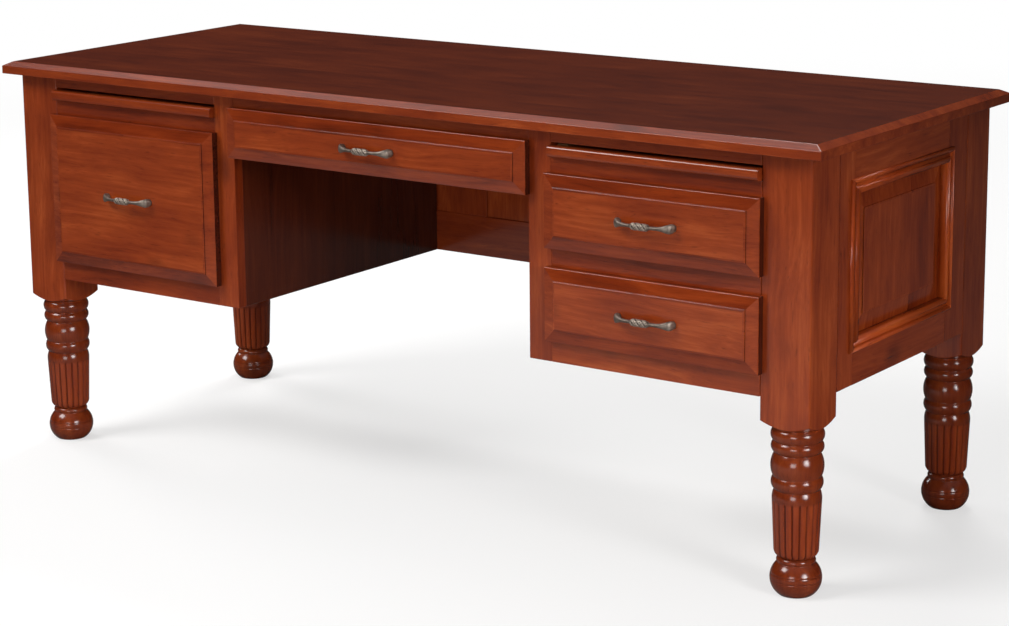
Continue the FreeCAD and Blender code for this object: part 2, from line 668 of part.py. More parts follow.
def pedestal_bottom(side):
    """A board between the inner board and the side frame, notched round the posts."""
    z = ("case_bottom + bottom_lift", "case_bottom + bottom_lift + bottom_thick")
    board = box(across(side, "board_x", "side_x - frame_thick"), ("frame_y", "back_in_y"), z)
    notches = [box(across(side, "post_x", "side_x"), ("front_y", "post_front_y"), z),
               box(across(side, "post_x", "side_x"), ("post_back_y", "back_y"), z)]
    return cut(board, *notches)


def board_guides(side):
    """Runners under a writing board and keepers over it, at the inner board and between the posts."""
    inner = (across(side, "board_x", "opening_x + runner_reach"), ("frame_y", "back_in_y"))
    outer = (across(side, "post_x - runner_reach", "post_x + cleat_thick"), ("post_front_y", "post_back_y"))
    runners = [box(x, y, ("slot_low - runner_tall", "slot_low")) for x, y in (inner, outer)]
    keepers = []
    for x, y in (inner, outer):
        keeper = box(x, y, ("keeper_low", "case_top"))
        holes = []
        for middle_x, middle_y in top_screw_places(x):
            holes.append(rod("top_screw_radius + fit_gap", middle_x, "keeper_low", "case_top", y=middle_y))
            holes.append(rod("top_screw_head_radius + fit_gap", middle_x, "keeper_low",
                             "keeper_low + top_screw_bore", y=middle_y))
        keepers.append(cut(keeper, fuse(*holes)))
    return runners + keepers


def top_screw_places(x):
    """Middles of the two screws in a keeper that lies between two formulas along X."""
    middle_x = f"(({x[0]}) + ({x[1]})) / 2"
    return [(middle_x, "post_front_y + top_screw_inset"), (middle_x, "post_back_y - top_screw_inset")]


def keeper_screws():
    """The places of all the screws that hold the top."""
    places = []
    for _, side in SIDES:
        places += top_screw_places(across(side, "board_x", "opening_x + runner_reach"))
        places += top_screw_places(across(side, "post_x - runner_reach", "post_x + cleat_thick"))
    return places


def top_screw(x, y):
    """A round-headed screw up through a keeper into the top."""
    seat = "keeper_low + top_screw_bore"
    head = rod("top_screw_head_radius", x, f"{seat} - top_screw_head_tall", seat, y=y)
    shank = rod("top_screw_radius", x, seat, "case_top + top_screw_into_top", y=y)
    return fuse(head, shank)


def channel(wall, side, web, lips, half_tall, z_middle, y):
    """A folded steel channel along Y: its web between two distances from a wall, its lips out to a third."""
    def from_wall(low, high):
        if side > 0:
            return f"{wall} + {low}", f"{wall} + {high}"
        return f"{wall} - {high}", f"{wall} - {low}"

    def height(half):
        return f"{z_middle} - {half}", f"{z_middle} + {half}"

    lip_thick = f"({half_tall} - slide_steel)"
    if value(lips) > value(web[1]):
        whole = (web[0], lips)
        inside = (web[1], f"({lips} + cut_past)")
    else:
        whole = (lips, web[1])
        inside = (f"({lips} - cut_past)", web[0])
    block = box(from_wall(*whole), y, height(half_tall))
    hollow = box(from_wall(*inside), (f"{y[0]} - cut_past", f"{y[1]} + cut_past"), height(lip_thick))
    return cut(block, hollow)


def slide_pair(low_x, high_x, z_middle, depth):
    """Both slides of one drawer: case channels, middle members and drawer runners, as three lists."""
    case, middle, runner = [], [], []
    y = ("front_y + slide_setback", f"front_y + slide_setback + {depth} - slide_short")
    step = "(slide_steel + slide_gap)"
    lips = "(slide_space - slide_nest)"
    for wall, side in ((low_x, 1), (high_x, -1)):
        case.append(channel(wall, side, ("0", "slide_steel"), lips, "(slide_tall / 2)", z_middle, y))
        middle.append(channel(wall, side, (step, f"({step} + slide_steel)"), lips,
                              f"(slide_tall / 2 - {step})", z_middle, y))
        runner.append(channel(wall, side, ("(slide_space - slide_steel)", "slide_space"), f"(2 * {step})",
                              f"(slide_tall / 2 - 2 * {step})", z_middle, y))
    return case, middle, runner


def mirrored(points):
    """The same outline points on the other side of the middle, in reverse order."""
    return [(kind, f"-({x})", y) for kind, x, y in reversed(points)]


def pull(x, z):
    """A bow pull: its plan (round feet, a bow, a thicker grip) and its front view meet in one solid."""
    plan = new_body("pull_plan")
    bow = sketch_on(plan, "XY_Plane")
    end = "(pull_centres / 2 + pull_foot_wide / 2)"
    heel = "(pull_centres / 2 - pull_foot_wide / 2)"
    inner_bow = "(pull_projection - pull_grip_thick)"
    side_line = [
        ("corner", end, "0"),
        ("corner", f"{end} - pull_lean_in", "-pull_lean_out"),
        ("corner", f"{heel} - pull_bow_inset", "-pull_bow_start"),
    ]
    inner_line = [
        ("corner", f"{heel} - pull_hollow_inset", "-pull_hollow_start"),
        ("corner", f"{heel} - pull_bow_inset", "-pull_heel_out"),
        ("corner", heel, "0"),
    ]
    outline(bow, [*side_line, ("crest", "0", "-pull_projection"), *mirrored(side_line),
                  *mirrored(inner_line), ("crest", "0", f"-{inner_bow}"), *inner_line])
    pad(plan, bow, "pull_foot_tall", middle=True)
    view = new_body("pull_view")
    face = sketch_on(view, "XZ_Plane")
    upper_line = [
        ("corner", end, "pull_foot_end / 2"),
        ("corner", f"{end} - pull_foot_crown", "pull_foot_tall / 2"),
        ("corner", f"{heel} + pull_bow_inset", "pull_neck_tall / 2"),
        ("corner", f"{heel} - pull_neck_inset", "pull_bar_tall / 2"),
        ("corner", "pull_grip_long / 2", "pull_bar_tall / 2"),
    ]
    upper = [*upper_line, ("crest", "0", "pull_grip_tall / 2"), *mirrored(upper_line)]
    lower = [(kind, along, f"-({height})") for kind, along, height in reversed(upper)]
    outline(face, upper + lower)
    pad(view, face, "3 * pull_projection", middle=True)
    solid = doc.addObject("Part::Common", "pull")
    solid.Base = plan
    solid.Tool = view
    place(solid, x, "field_y", z)
    return cut(solid, *screw_bores(x, z, "field_y - screw_into_pull - cut_past", "field_y + cut_past"))


def pull_screws(x, z):
    """Two screws from inside the drawer, through its box and front, into the pull's feet."""
    screws = []
    inside = "front_back_y + box_board"
    for hand in (-1, 1):
        middle_x = f"{x} + {hand} * pull_centres / 2"
        shank = rod("screw_radius", middle_x, "field_y - screw_into_pull", inside, z=z)
        head = rod("screw_head_radius", middle_x, inside, f"{inside} + screw_head_tall", z=z)
        screws.append(fuse(shank, head))
    return screws


def screw_bores(x, z, low, high):
    """The two holes that a pull's screws pass through."""
    return [rod("screw_radius + fit_gap", f"{x} + {hand} * pull_centres / 2", low, high, z=z)
            for hand in (-1, 1)]


def drawer(name, x, wide, front_z, front_tall, low, tall, box_wide, walls, depth):
    """A drawer: raised front, box, bottom, pull and screws, with its slides; returns the case channels."""
    front = raised_board(wide, front_tall, "0", "front_edge_thick", "front_bevel_wide", "front_bevel_rise",
                         "front_step")
    place(front, x, "front_back_y", front_z, 180)
    bores = screw_bores(x, front_z, "field_y - cut_past", "front_back_y + cut_past")
    node(name + "_front", cut(front, *bores))

    left = f"{x} - {box_wide} / 2"
    right = f"{x} + {box_wide} / 2"
    y = ("front_back_y", f"front_back_y + {depth}")
    z = (low, f"{low} + {tall}")
    bottom_z = (f"{low} + box_bottom_lift", f"{low} + box_bottom_lift + box_bottom")
    groove = box((f"{left} + box_board - box_groove", f"{right} - box_board + box_groove"),
                 (f"{y[0]} + box_board - box_groove", f"{y[1]} - box_board + box_groove"),
                 (f"{bottom_z[0]} - fit_gap", f"{bottom_z[1]} + fit_gap"))
    between = (f"{left} + box_board", f"{right} - box_board")
    bores = screw_bores(x, front_z, "front_back_y - cut_past", "front_back_y + box_board + cut_past")
    sub_front = cut(box(between, (y[0], f"{y[0]} + box_board"), z), *bores)
    boards = [sub_front, box(between, (f"{y[1]} - box_board", y[1]), z),
              box((left, f"{left} + box_board"), y, z), box((f"{right} - box_board", right), y, z)]
    node(name + "_box", *[cut(board, groove) for board in boards])
    slack = "(box_board - box_groove + fit_gap)"
    node(name + "_bottom", box((f"{left} + {slack}", f"{right} - {slack}"),
                               (f"{y[0]} + {slack}", f"{y[1]} - {slack}"), bottom_z))
    node(name + "_pull", pull(x, front_z))
    node(name + "_pull_screws", *pull_screws(x, front_z))
    case, middle, runner = slide_pair(walls[0], walls[1], f"({low} + {tall} / 2)", depth)
    node(name + "_slide_middles", *middle)
    node(name + "_runners", *runner)
    return case


def hanger_rails(x, low, tall, box_wide, depth):
    """Two steel rails inside the file drawer's sides, on which folders hang."""
    y = ("front_back_y + box_board", f"front_back_y + {depth} - box_board")
    top = f"{low} + {tall} + hanger_rise"
    inner = f"({box_wide} / 2 - box_board)"
    return [box((f"{x} - {inner}", f"{x} - {inner} + hanger_thick"), y, (f"{top} - hanger_tall", top)),
            box((f"{x} + {inner} - hanger_thick", f"{x} + {inner}"), y, (f"{top} - hanger_tall", top))]


def slide_cleats(side, z_middle):
    """Cleats behind one drawer's slides: one on the inner board, one between the posts."""
    z = (f"{z_middle} - cleat_tall / 2", f"{z_middle} + cleat_tall / 2")
    return [box(across(side, "board_x", "opening_x"), ("frame_y", "back_in_y - cleat_back_gap"), z),
            box(across(side, "post_x", "post_x + cleat_thick"), ("post_front_y", "post_back_y"), z)]


def writing_board(side):
    """A board that slides in its slot, and the rounded strip along its front."""
    x = across(side, "opening_x + board_gap", "post_x - board_gap")
    strip_back = "front_y + edge_inside"
    board = box(x, (strip_back, "back_in_y - board_back_gap"), ("board_low", "board_low + board_thick"))
    strip = new_body("edge_strip")
    section = sketch_on(strip, "YZ_Plane")
    corner = "(edge_proud - edge_round)"
    diagonal = "edge_round * sqrt(0.5)"
    outline(section, [
        ("corner", "edge_inside", "0"),
        ("corner", "edge_inside", "edge_tall"),
        ("corner", f"-{corner}", "edge_tall"),
        ("crest", f"-{corner} - {diagonal}", f"edge_tall - edge_round + {diagonal}"),
        ("corner", "-edge_proud", "edge_tall - edge_round"),
        ("corner", "-edge_proud", "edge_round"),
        ("crest", f"-{corner} - {diagonal}", f"edge_round - {diagonal}"),
        ("corner", f"-{corner}", "0"),
    ])
    pad(strip, section, "opening_width - 2 * board_gap", middle=True)
    place(strip, f"{side} * (opening_x + post_x) / 2", "front_y", "board_low")
    return board, strip


screws = [top_screw(x, y) for x, y in keeper_screws()]
pilot_z = ("case_top - cut_past", "case_top + top_screw_into_top + cut_past")
pilots = [rod("top_screw_radius + fit_gap", x, *pilot_z, y=y) for x, y in keeper_screws()]
node("desk_top", cut(desk_top(), *pilots))
node("top_screws", *screws)
for side_name, side in SIDES:
    node(f"front_{side_name}_leg", leg(side, "front_y + post_side / 2"))
    node(f"back_{side_name}_leg", leg(side, "back_y - post_side / 2"))
    node(f"{side_name}_side_frame", *side_frame(side))
    panel, strips = side_panel(side)
    node(f"{side_name}_side_panel", panel)
    node(f"{side_name}_side_moulding", *strips)
    upright = ("case_bottom", "case_top")
    stile_x = across(side, "inner_x", "opening_x")
    node(f"{side_name}_inner_stile", box(stile_x, ("front_y", "frame_y"), upright))
    board_x = across(side, "inner_x", "board_x")
    node(f"{side_name}_inner_board", box(board_x, ("frame_y", "back_in_y"), upright))

node("back_frame", *back_frame())
panels, strips = back_panels()
node("back_panels", *panels)
node("back_mouldings", *strips)

top_level = ("slot_top", "case_top")
slot_level = ("drawers_top", "slot_low")
bottom_level = ("case_bottom", "drawers_low")
middle_level = ("drawers_low + opening_tall", "drawers_top - opening_tall")
node("left_front_rails", *front_rails(-1, [top_level, slot_level, bottom_level]))
node("right_front_rails", *front_rails(1, [top_level, slot_level, middle_level, bottom_level]))
node("kneehole_rail", box(("-inner_x", "inner_x"), ("front_y", "frame_y"), ("kneehole_top", "case_top")))
node("pedestal_bottoms", *[pedestal_bottom(side) for _, side in SIDES])
node("board_guides", *[piece for _, side in SIDES for piece in board_guides(side)])
for side_name, side in SIDES:
    board, strip = writing_board(side)
    node(f"{side_name}_writing_board", board)
    node(f"{side_name}_board_edge", strip)

pedestal_x = "(opening_x + post_x) / 2"
pedestal_front = "(opening_width + 2 * front_overlay)"
right_walls = ("opening_x", "post_x")
left_walls = ("-post_x", "-opening_x")
right_tall = "(opening_tall + 2 * front_overlay)"
upper_low = "(drawers_top - opening_tall)"
file_opening = "(drawers_top - drawers_low)"
channels = []
for name, opening_low in (("upper_drawer", upper_low), ("lower_drawer", "drawers_low")):
    channels += drawer(name, pedestal_x, pedestal_front, f"({opening_low} + opening_tall / 2)", right_tall,
                       f"({opening_low} + box_lift)", "right_box_tall", "box_width", right_walls,
                       "drawer_depth")
channels += drawer("file_drawer", f"-{pedestal_x}", pedestal_front, f"(drawers_low + {file_opening} / 2)",
                   f"({file_opening} + 2 * front_overlay)", "(drawers_low + box_lift)", "file_box_tall",
                   "box_width", left_walls, "drawer_depth")
node("file_hanger_rails", *hanger_rails(f"-{pedestal_x}", "(drawers_low + box_lift)", "file_box_tall",
                                        "box_width", "drawer_depth"))
channels += drawer("centre_drawer", "0", "(kneehole_width + 2 * centre_overlay)",
                   "(kneehole_top + front_overlay - centre_front_tall / 2)", "centre_front_tall",
                   "(kneehole_top - centre_box_drop - centre_box_tall)", "centre_box_tall",
                   "centre_box_width", ("-inner_x", "inner_x"), "centre_depth")
node("slide_channels", *channels)
node("slide_cleats",
     *slide_cleats(1, f"({upper_low} + box_lift + right_box_tall / 2)"),
     *slide_cleats(1, "(drawers_low + box_lift + right_box_tall / 2)"),
     *slide_cleats(-1, "(drawers_low + box_lift + file_box_tall / 2)"))

doc.recompute()
faults = [item.Name for item in doc.Objects if {"Invalid", "Error"} & set(item.State)]
faults += [part.Label for part in nodes if part.Shape.isNull() or not part.Shape.isValid()]
if faults:
    raise SystemExit("failed: " + ", ".join(faults))
os.makedirs("parts", exist_ok=True)
for part in nodes:
    part.Shape.exportStep(f"parts/{part.Label}.step")
print(len(nodes), "sub-parts")
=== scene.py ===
"""Looks of the writing desk: glossy cherry, turned and reeded legs, antique pewter bow pulls.

Metres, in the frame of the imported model: +X is the desk's right, -Y its front, +Z up.
"""
import math

import bpy
import numpy as np
from mathutils import Matrix, Vector


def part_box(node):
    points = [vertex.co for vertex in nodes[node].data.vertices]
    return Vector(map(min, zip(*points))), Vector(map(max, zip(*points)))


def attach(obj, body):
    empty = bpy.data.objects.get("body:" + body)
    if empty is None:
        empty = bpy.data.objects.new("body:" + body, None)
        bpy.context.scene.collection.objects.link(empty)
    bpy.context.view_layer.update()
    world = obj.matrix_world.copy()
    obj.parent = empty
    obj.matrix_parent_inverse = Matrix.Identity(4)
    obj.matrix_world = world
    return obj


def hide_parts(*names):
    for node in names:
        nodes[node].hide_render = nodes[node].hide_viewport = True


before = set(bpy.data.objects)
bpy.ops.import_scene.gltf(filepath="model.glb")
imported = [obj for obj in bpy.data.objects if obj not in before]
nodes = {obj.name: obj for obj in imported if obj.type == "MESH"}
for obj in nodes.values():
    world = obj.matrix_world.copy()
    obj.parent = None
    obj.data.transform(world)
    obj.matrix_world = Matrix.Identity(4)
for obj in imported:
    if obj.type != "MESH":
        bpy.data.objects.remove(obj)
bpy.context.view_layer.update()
scene = bpy.context.scene
scene.view_settings.view_transform = "Standard"

MM = 0.001


# Colours

def paint(red, green, blue):
    """A colour given as it looks on screen, 0 to 255, as the linear values that shaders take."""
    channels = np.array([red, green, blue]) / 255
    linear = np.where(channels <= 0.04045, channels / 12.92, ((channels + 0.055) / 1.055) ** 2.4)
    return (*linear.tolist(), 1.0)


# Shader building

class Shader:
    """A material's node tree, with short ways to add nodes and join them."""

    def __init__(self, name):
        self.material = bpy.data.materials.new(name)
        self.material.use_nodes = True
        self.tree = self.material.node_tree
        self.surface = self.tree.nodes["Principled BSDF"]

    def feed(self, socket, source):
        """Gives a socket a value, or joins the output of another node to it."""
        if isinstance(source, bpy.types.NodeSocket):
            self.tree.links.new(source, socket)
        else:
            socket.default_value = source

    def add(self, kind, inputs=None, **settings):
        """Adds a node; each input is a value, or the output of another node."""
        made = self.tree.nodes.new(kind)
        for setting, choice in settings.items():
            setattr(made, setting, choice)
        for socket, source in (inputs or {}).items():
            self.feed(made.inputs[socket], source)
        return made

    def math(self, operation, first, second=0.0):
        """One arithmetic step on numbers."""
        return self.add("ShaderNodeMath", {0: first, 1: second}, operation=operation).outputs[0]

    def scaled(self, vector, scale):
        """A vector stretched along each axis."""
        return self.add("ShaderNodeVectorMath", {0: vector, 1: scale}, operation="MULTIPLY").outputs[0]

    def noise(self, place, stretch, detail=3.0, rough=0.5, warp=0.0):
        """Soft noise between 0 and 1, at a place that is stretched along each axis."""
        inputs = {"Vector": self.scaled(place, stretch), "Scale": 1.0, "Detail": detail, "Roughness": rough,
                  "Distortion": warp}
        return self.add("ShaderNodeTexNoise", inputs).outputs["Fac"]

    def ramp(self, factor, stops):
        """A colour that runs through (place, colour) stops."""
        made = self.add("ShaderNodeValToRGB", {"Fac": factor})
        elements = made.color_ramp.elements
        while len(elements) < len(stops):
            elements.new(0.5)
        for element, (place, colour) in zip(elements, stops):
            element.position = place
            element.color = colour
        return made.outputs["Color"]

    def mix(self, factor, first, second):
        """Two colours mixed."""
        return self.add("ShaderNodeMix", {0: factor, 6: first, 7: second}, data_type="RGBA").outputs[2]

    def set(self, **values):
        """Sets the surface's own sockets, by name with _ for a space."""
        for socket, source in values.items():
            self.feed(self.surface.inputs[socket.replace("_", " ")], source)

    def bump(self, height, strength, distance):
        """Gives the surface fine relief."""
        relief = self.add("ShaderNodeBump", {"Height": height, "Strength": strength, "Distance": distance})
        self.set(Normal=relief.outputs["Normal"])


# Tones of the finishes: (place on the ramp, colour)

CHERRY_TONES = [
    (0.3, paint(80, 26, 10)),
    (0.45, paint(117, 42, 15)),
    (0.56, paint(136, 54, 20)),
    (0.72, paint(166, 78, 34)),
]
# Painted shade: a darker copy of the cherry for the top's level faces and the writing boards, standing in for
# the dimmer light on them.
TOP_PAINTED_SHADE_TONES = [
    (0.3, paint(66, 21, 9)),
    (0.45, paint(88, 31, 13)),
    (0.56, paint(102, 39, 16)),
    (0.72, paint(124, 54, 24)),
]
# Painted shade: a darker copy of the cherry for the kneehole's inner boards, standing in for the shade that
# falls in the kneehole.
KNEEHOLE_PAINTED_SHADE_TONES = [
    (0.3, paint(48, 17, 9)),
    (0.45, paint(65, 24, 12)),
    (0.56, paint(76, 30, 15)),
    (0.72, paint(94, 41, 21)),
]
# Painted light: a lighter, more orange copy of the cherry for the mouldings, standing in for the light that
# falls on their beads.
BEAD_PAINTED_LIGHT_TONES = [
    (0.3, paint(104, 36, 12)),
    (0.45, paint(148, 57, 20)),
    (0.56, paint(170, 72, 26)),
    (0.72, paint(198, 98, 43)),
]
# End grain: partly its own darker tone, partly painted shade on the boards' ends beside the posts and frame.
END_GRAIN_AND_PAINTED_SHADE_TONES = [
    (0.3, paint(38, 12, 6)),
    (0.5, paint(58, 19, 9)),
    (0.72, paint(80, 29, 14)),
]
MAPLE_TONES = [
    (0.3, paint(158, 116, 74)),
    (0.46, paint(188, 148, 102)),
    (0.56, paint(202, 165, 119)),
    (0.72, paint(218, 186, 143)),
]
PEWTER_TONES = [
    (0.05, paint(40, 32, 28)),
    (0.45, paint(98, 86, 78)),
    (0.9, paint(178, 163, 149)),
]
ZINC_TONES = [
    (0.3, paint(150, 152, 155)),
    (0.7, paint(190, 191, 192)),
]
# The dark colour mixed in where the legs are darker: partly the turnings' own tone, partly painted shade in
# the reed valleys and foot lines.
DARK_TONE_AND_PAINTED_SHADE = paint(44, 13, 7)
KNOT = paint(58, 20, 9)

# Wood: the axes across and along the grain, and the stretch of each part of the pattern across and along it
GRAIN_ORDER = {"X": "YZX", "Y": "ZXY", "Z": "XYZ"}
BOARD_SEEDS = 57.0
SHIFT_ALONG = 7.0
SHIFT_ACROSS = 3.0
SWAY_STRETCH = (6, 6, 2.2)
SWAY_WIDE = 0.07
FIGURE_STRETCH = (26, 26, 5)
FIGURE_SHARE = 0.36
STREAK_STRETCH = (130, 130, 2.6)
STREAK_SHARE = 0.24
BLOTCH_STRETCH = (8, 8, 5)
BLOTCH_SHARE = 0.26
FIBRE_STRETCH = (640, 640, 18)
FIBRE_SHARE = 0.14
FIBRE_DEEP = 0.0001
GUM_STRETCH = (430, 430, 34)
GUM_FROM = 0.66
GUM_FULL = 0.76
GUM_DARK = 0.4
KNOT_STRETCH = (7, 7, 4.5)
KNOT_HEART = 0.03
KNOT_EDGE = 0.2

# Metals: the stretch of the clouds, cast skin and drawn lines
CAST_CLOUD = (160, 160, 160)
CAST_SKIN = (1500, 1500, 1500)
CAST_DEEP = 0.0002
PLATE_CLOUD = (40, 40, 40)
DRAWN_LINES = (1200, 20, 1200)
DRAWN_DEEP = 0.0001


def wood(name, grain, tones, stave=None, stain=0.1, gloss=1.0, knots=0.0, haze=0.17):
    """Wood sawn along one axis: figure and streaks drawn out along the grain, fibres, gum marks and knots.

    The pattern's place is the object's own coordinates, turned so that the grain runs along z. Each board, or
    each glued stave of a panel, takes its own piece of the pattern and its own depth of stain. A point
    attribute darkens the legs' turnings, partly in their own darker tone and partly as painted shade in the
    reed valleys and foot lines.
    """
    shader = Shader(name)
    place = shader.add("ShaderNodeTexCoord").outputs["Object"]
    axes = shader.add("ShaderNodeSeparateXYZ", {0: place}).outputs
    order = [axes[axis] for axis in GRAIN_ORDER[grain]]
    island = shader.add("ShaderNodeNewGeometry").outputs["Random Per Island"]
    seed = shader.math("MULTIPLY", island, BOARD_SEEDS)
    if stave:
        across = shader.math("ADD", order[0], order[1])
        seed = shader.math("ADD", seed, shader.math("FLOOR", shader.math("DIVIDE", across, stave)))
    chance = shader.add("ShaderNodeTexWhiteNoise", {"W": seed}, noise_dimensions="1D").outputs["Value"]
    along = shader.math("ADD", order[2], shader.math("MULTIPLY", chance, SHIFT_ALONG))
    aside = shader.math("ADD", order[0], shader.math("MULTIPLY", chance, SHIFT_ACROSS))
    board = shader.add("ShaderNodeCombineXYZ", {0: aside, 1: order[1], 2: along}).outputs[0]
    sway = shader.math("MULTIPLY", shader.noise(board, SWAY_STRETCH, 2.0), SWAY_WIDE)
    bent = shader.add("ShaderNodeCombineXYZ", {0: shader.math("ADD", aside, sway),
                                               1: shader.math("ADD", order[1], sway), 2: along}).outputs[0]

    figure = shader.noise(bent, FIGURE_STRETCH, 4.0, 0.6, 0.5)
    streaks = shader.noise(bent, STREAK_STRETCH, 3.0, 0.55)
    blotch = shader.noise(board, BLOTCH_STRETCH, 2.0)
    fibre = shader.noise(bent, FIBRE_STRETCH, 3.0, 0.6)
    shares = ((figure, FIGURE_SHARE), (streaks, STREAK_SHARE), (blotch, BLOTCH_SHARE), (fibre, FIBRE_SHARE))
    tone = shader.math("MULTIPLY", shader.math("SUBTRACT", chance, 0.5), stain)
    for source, share in shares:
        tone = shader.math("ADD", tone, shader.math("MULTIPLY", source, share))
    colour = shader.ramp(tone, tones)

    marks = shader.noise(bent, GUM_STRETCH, 1.0)
    gum = shader.add("ShaderNodeMapRange", {"Value": marks, "From Min": GUM_FROM, "From Max": GUM_FULL,
                                            "To Max": GUM_DARK})
    colour = shader.mix(gum.outputs["Result"], colour, KNOT)
    if knots:
        spread = shader.scaled(board, KNOT_STRETCH)
        cells = shader.add("ShaderNodeTexVoronoi", {"Vector": spread, "Scale": 1.0})
        spot = shader.add("ShaderNodeMapRange", {"Value": cells.outputs["Distance"], "From Min": KNOT_HEART,
                                                 "From Max": KNOT_EDGE, "To Min": knots, "To Max": 0.0},
                          interpolation_type="SMOOTHSTEP")
        colour = shader.mix(spot.outputs["Result"], colour, KNOT)
    # The legs' darker turnings, and the shade painted into their hollows, come in through this attribute.
    tone_and_painted_shade = shader.add("ShaderNodeAttribute", attribute_name="tone_and_painted_shade").outputs["Fac"]
    colour = shader.mix(tone_and_painted_shade, colour, DARK_TONE_AND_PAINTED_SHADE)
    shader.set(Base_Color=colour, Roughness=0.5, Specular_IOR_Level=0.0)
    shader.set(Coat_Weight=gloss, Coat_Roughness=haze, Coat_IOR=1.45)
    shader.bump(fibre, 0.1, FIBRE_DEEP)
    return shader.material


def pewter():
    """Antiqued cast metal: dark in the hollows, rubbed bright on the ridges, with a fine cast skin."""
    shader = Shader("antique_pewter")
    place = shader.add("ShaderNodeTexCoord").outputs["Object"]
    worn = shader.add("ShaderNodeAttribute", attribute_name="ridge").outputs["Fac"]
    cloud = shader.noise(place, CAST_CLOUD, 4.0, 0.6)
    skin = shader.noise(place, CAST_SKIN, 2.0)
    rubbed = shader.math("ADD", worn, shader.math("MULTIPLY", shader.math("SUBTRACT", cloud, 0.5), 0.5))
    colour = shader.ramp(rubbed, PEWTER_TONES)
    rough = shader.math("ADD", shader.math("MULTIPLY", cloud, 0.2), 0.34)
    shader.set(Base_Color=colour, Metallic=0.75, Roughness=rough)
    shader.bump(skin, 0.15, CAST_DEEP)
    return shader.material


def zinc():
    """Zinc-plated sheet steel: pale grey, faintly clouded, rubbed along the slide."""
    shader = Shader("zinc_steel")
    place = shader.add("ShaderNodeTexCoord").outputs["Object"]
    cloud = shader.noise(place, PLATE_CLOUD, 3.0)
    drawn = shader.noise(place, DRAWN_LINES, 2.0)
    colour = shader.ramp(cloud, ZINC_TONES)
    rough = shader.math("ADD", shader.math("MULTIPLY", drawn, 0.2), 0.22)
    shader.set(Base_Color=colour, Metallic=1.0, Roughness=rough)
    shader.bump(drawn, 0.1, DRAWN_DEEP)
    return shader.material


CHERRY = {}
CHERRY_BEAD_PAINTED_LIGHT = {}
for grain in GRAIN_ORDER:
    CHERRY[grain] = wood(f"cherry_{grain.lower()}", grain, CHERRY_TONES, knots=0.5)
    CHERRY_BEAD_PAINTED_LIGHT[grain] = wood(f"cherry_bead_painted_light_{grain.lower()}", grain, BEAD_PAINTED_LIGHT_TONES, haze=0.27)
CHERRY_TOP_PAINTED_SHADE = wood("cherry_top_painted_shade", "X", TOP_PAINTED_SHADE_TONES, 0.11, 0.04)
CHERRY_KNEEHOLE_PAINTED_SHADE = wood("cherry_kneehole_painted_shade", "Z", KNEEHOLE_PAINTED_SHADE_TONES, 0.09, 0.04)
CHERRY_END_GRAIN_AND_PAINTED_SHADE = wood("cherry_end_grain_and_painted_shade", "X", END_GRAIN_AND_PAINTED_SHADE_TONES)
CHERRY_STAVES = wood("cherry_staves", "Z", CHERRY_TONES, 0.066, 0.1)
MAPLE = {grain: wood(f"maple_{grain.lower()}", grain, MAPLE_TONES, 0.11, 0.1, 0.25) for grain in "XY"}
PEWTER = pewter()
ZINC = zinc()


# Surfaces

def ringed_object(name, grids, materials, numbers, body, replaced, attribute=None, values=None,
                  mitred=False):
    """A mesh of tubes, each a grid of rings of points, capped at both ends, with its material's number.

    An attribute, where one is named, gives one value to each point for its material. A mitred tube is sharp
    along the lines that join its rings.
    """
    spots = []
    faces = []
    smooth = []
    finishes = []
    for points, number in zip(grids, numbers):
        rows, columns = points.shape[:2]
        index = np.arange(rows * columns).reshape(rows, columns) + len(spots)
        beside = np.roll(index, -1, axis=1)
        quads = np.stack([index[:-1], beside[:-1], beside[1:], index[1:]], axis=-1).reshape(-1, 4)
        spots += points.reshape(-1, 3).tolist()
        faces += quads.tolist() + [index[0, ::-1].tolist(), index[-1].tolist()]
        smooth += [True] * len(quads) + [False] * 2
        finishes += [number] * (len(quads) + 2)
    mesh = bpy.data.meshes.new(name)
    mesh.from_pydata(spots, [], faces)
    mesh.polygons.foreach_set("use_smooth", smooth)
    mesh.polygons.foreach_set("material_index", finishes)
    if attribute:
        layer = mesh.attributes.new(attribute, "FLOAT", "POINT")
        layer.data.foreach_set("value", values.ravel().astype(np.float32))
    if mitred:
        ends = np.empty(len(mesh.edges) * 2, np.int32)
        mesh.edges.foreach_get("vertices", ends)
        ends = ends.reshape(-1, 2) % columns
        creases = mesh.attributes.new("sharp_edge", "BOOLEAN", "EDGE")
        creases.data.foreach_set("value", ends[:, 0] == ends[:, 1])
    for material in materials:
        mesh.materials.append(material)
    mesh.validate()
    made = bpy.data.objects.new(name, mesh)
    scene.collection.objects.link(made)
    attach(made, body)
    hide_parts(replaced)
    return made


def of_faces(mesh, kind):
    """The center or the normal of each of a mesh's faces."""
    values = np.empty(len(mesh.polygons) * 3)
    mesh.polygons.foreach_get(kind, values)
    return values.reshape(-1, 3)


def second_finish(mesh, chosen):
    """Puts a mesh's second material on the faces where chosen is true."""
    mesh.polygons.foreach_set("material_index", chosen.astype(np.int32))


def smooth_step(value, low, high):
    """0 below low, 1 above high, and 3t^2 - 2t^3 between."""
    share = np.clip((value - low) / (high - low), 0, 1)
    return share * share * (3 - 2 * share)


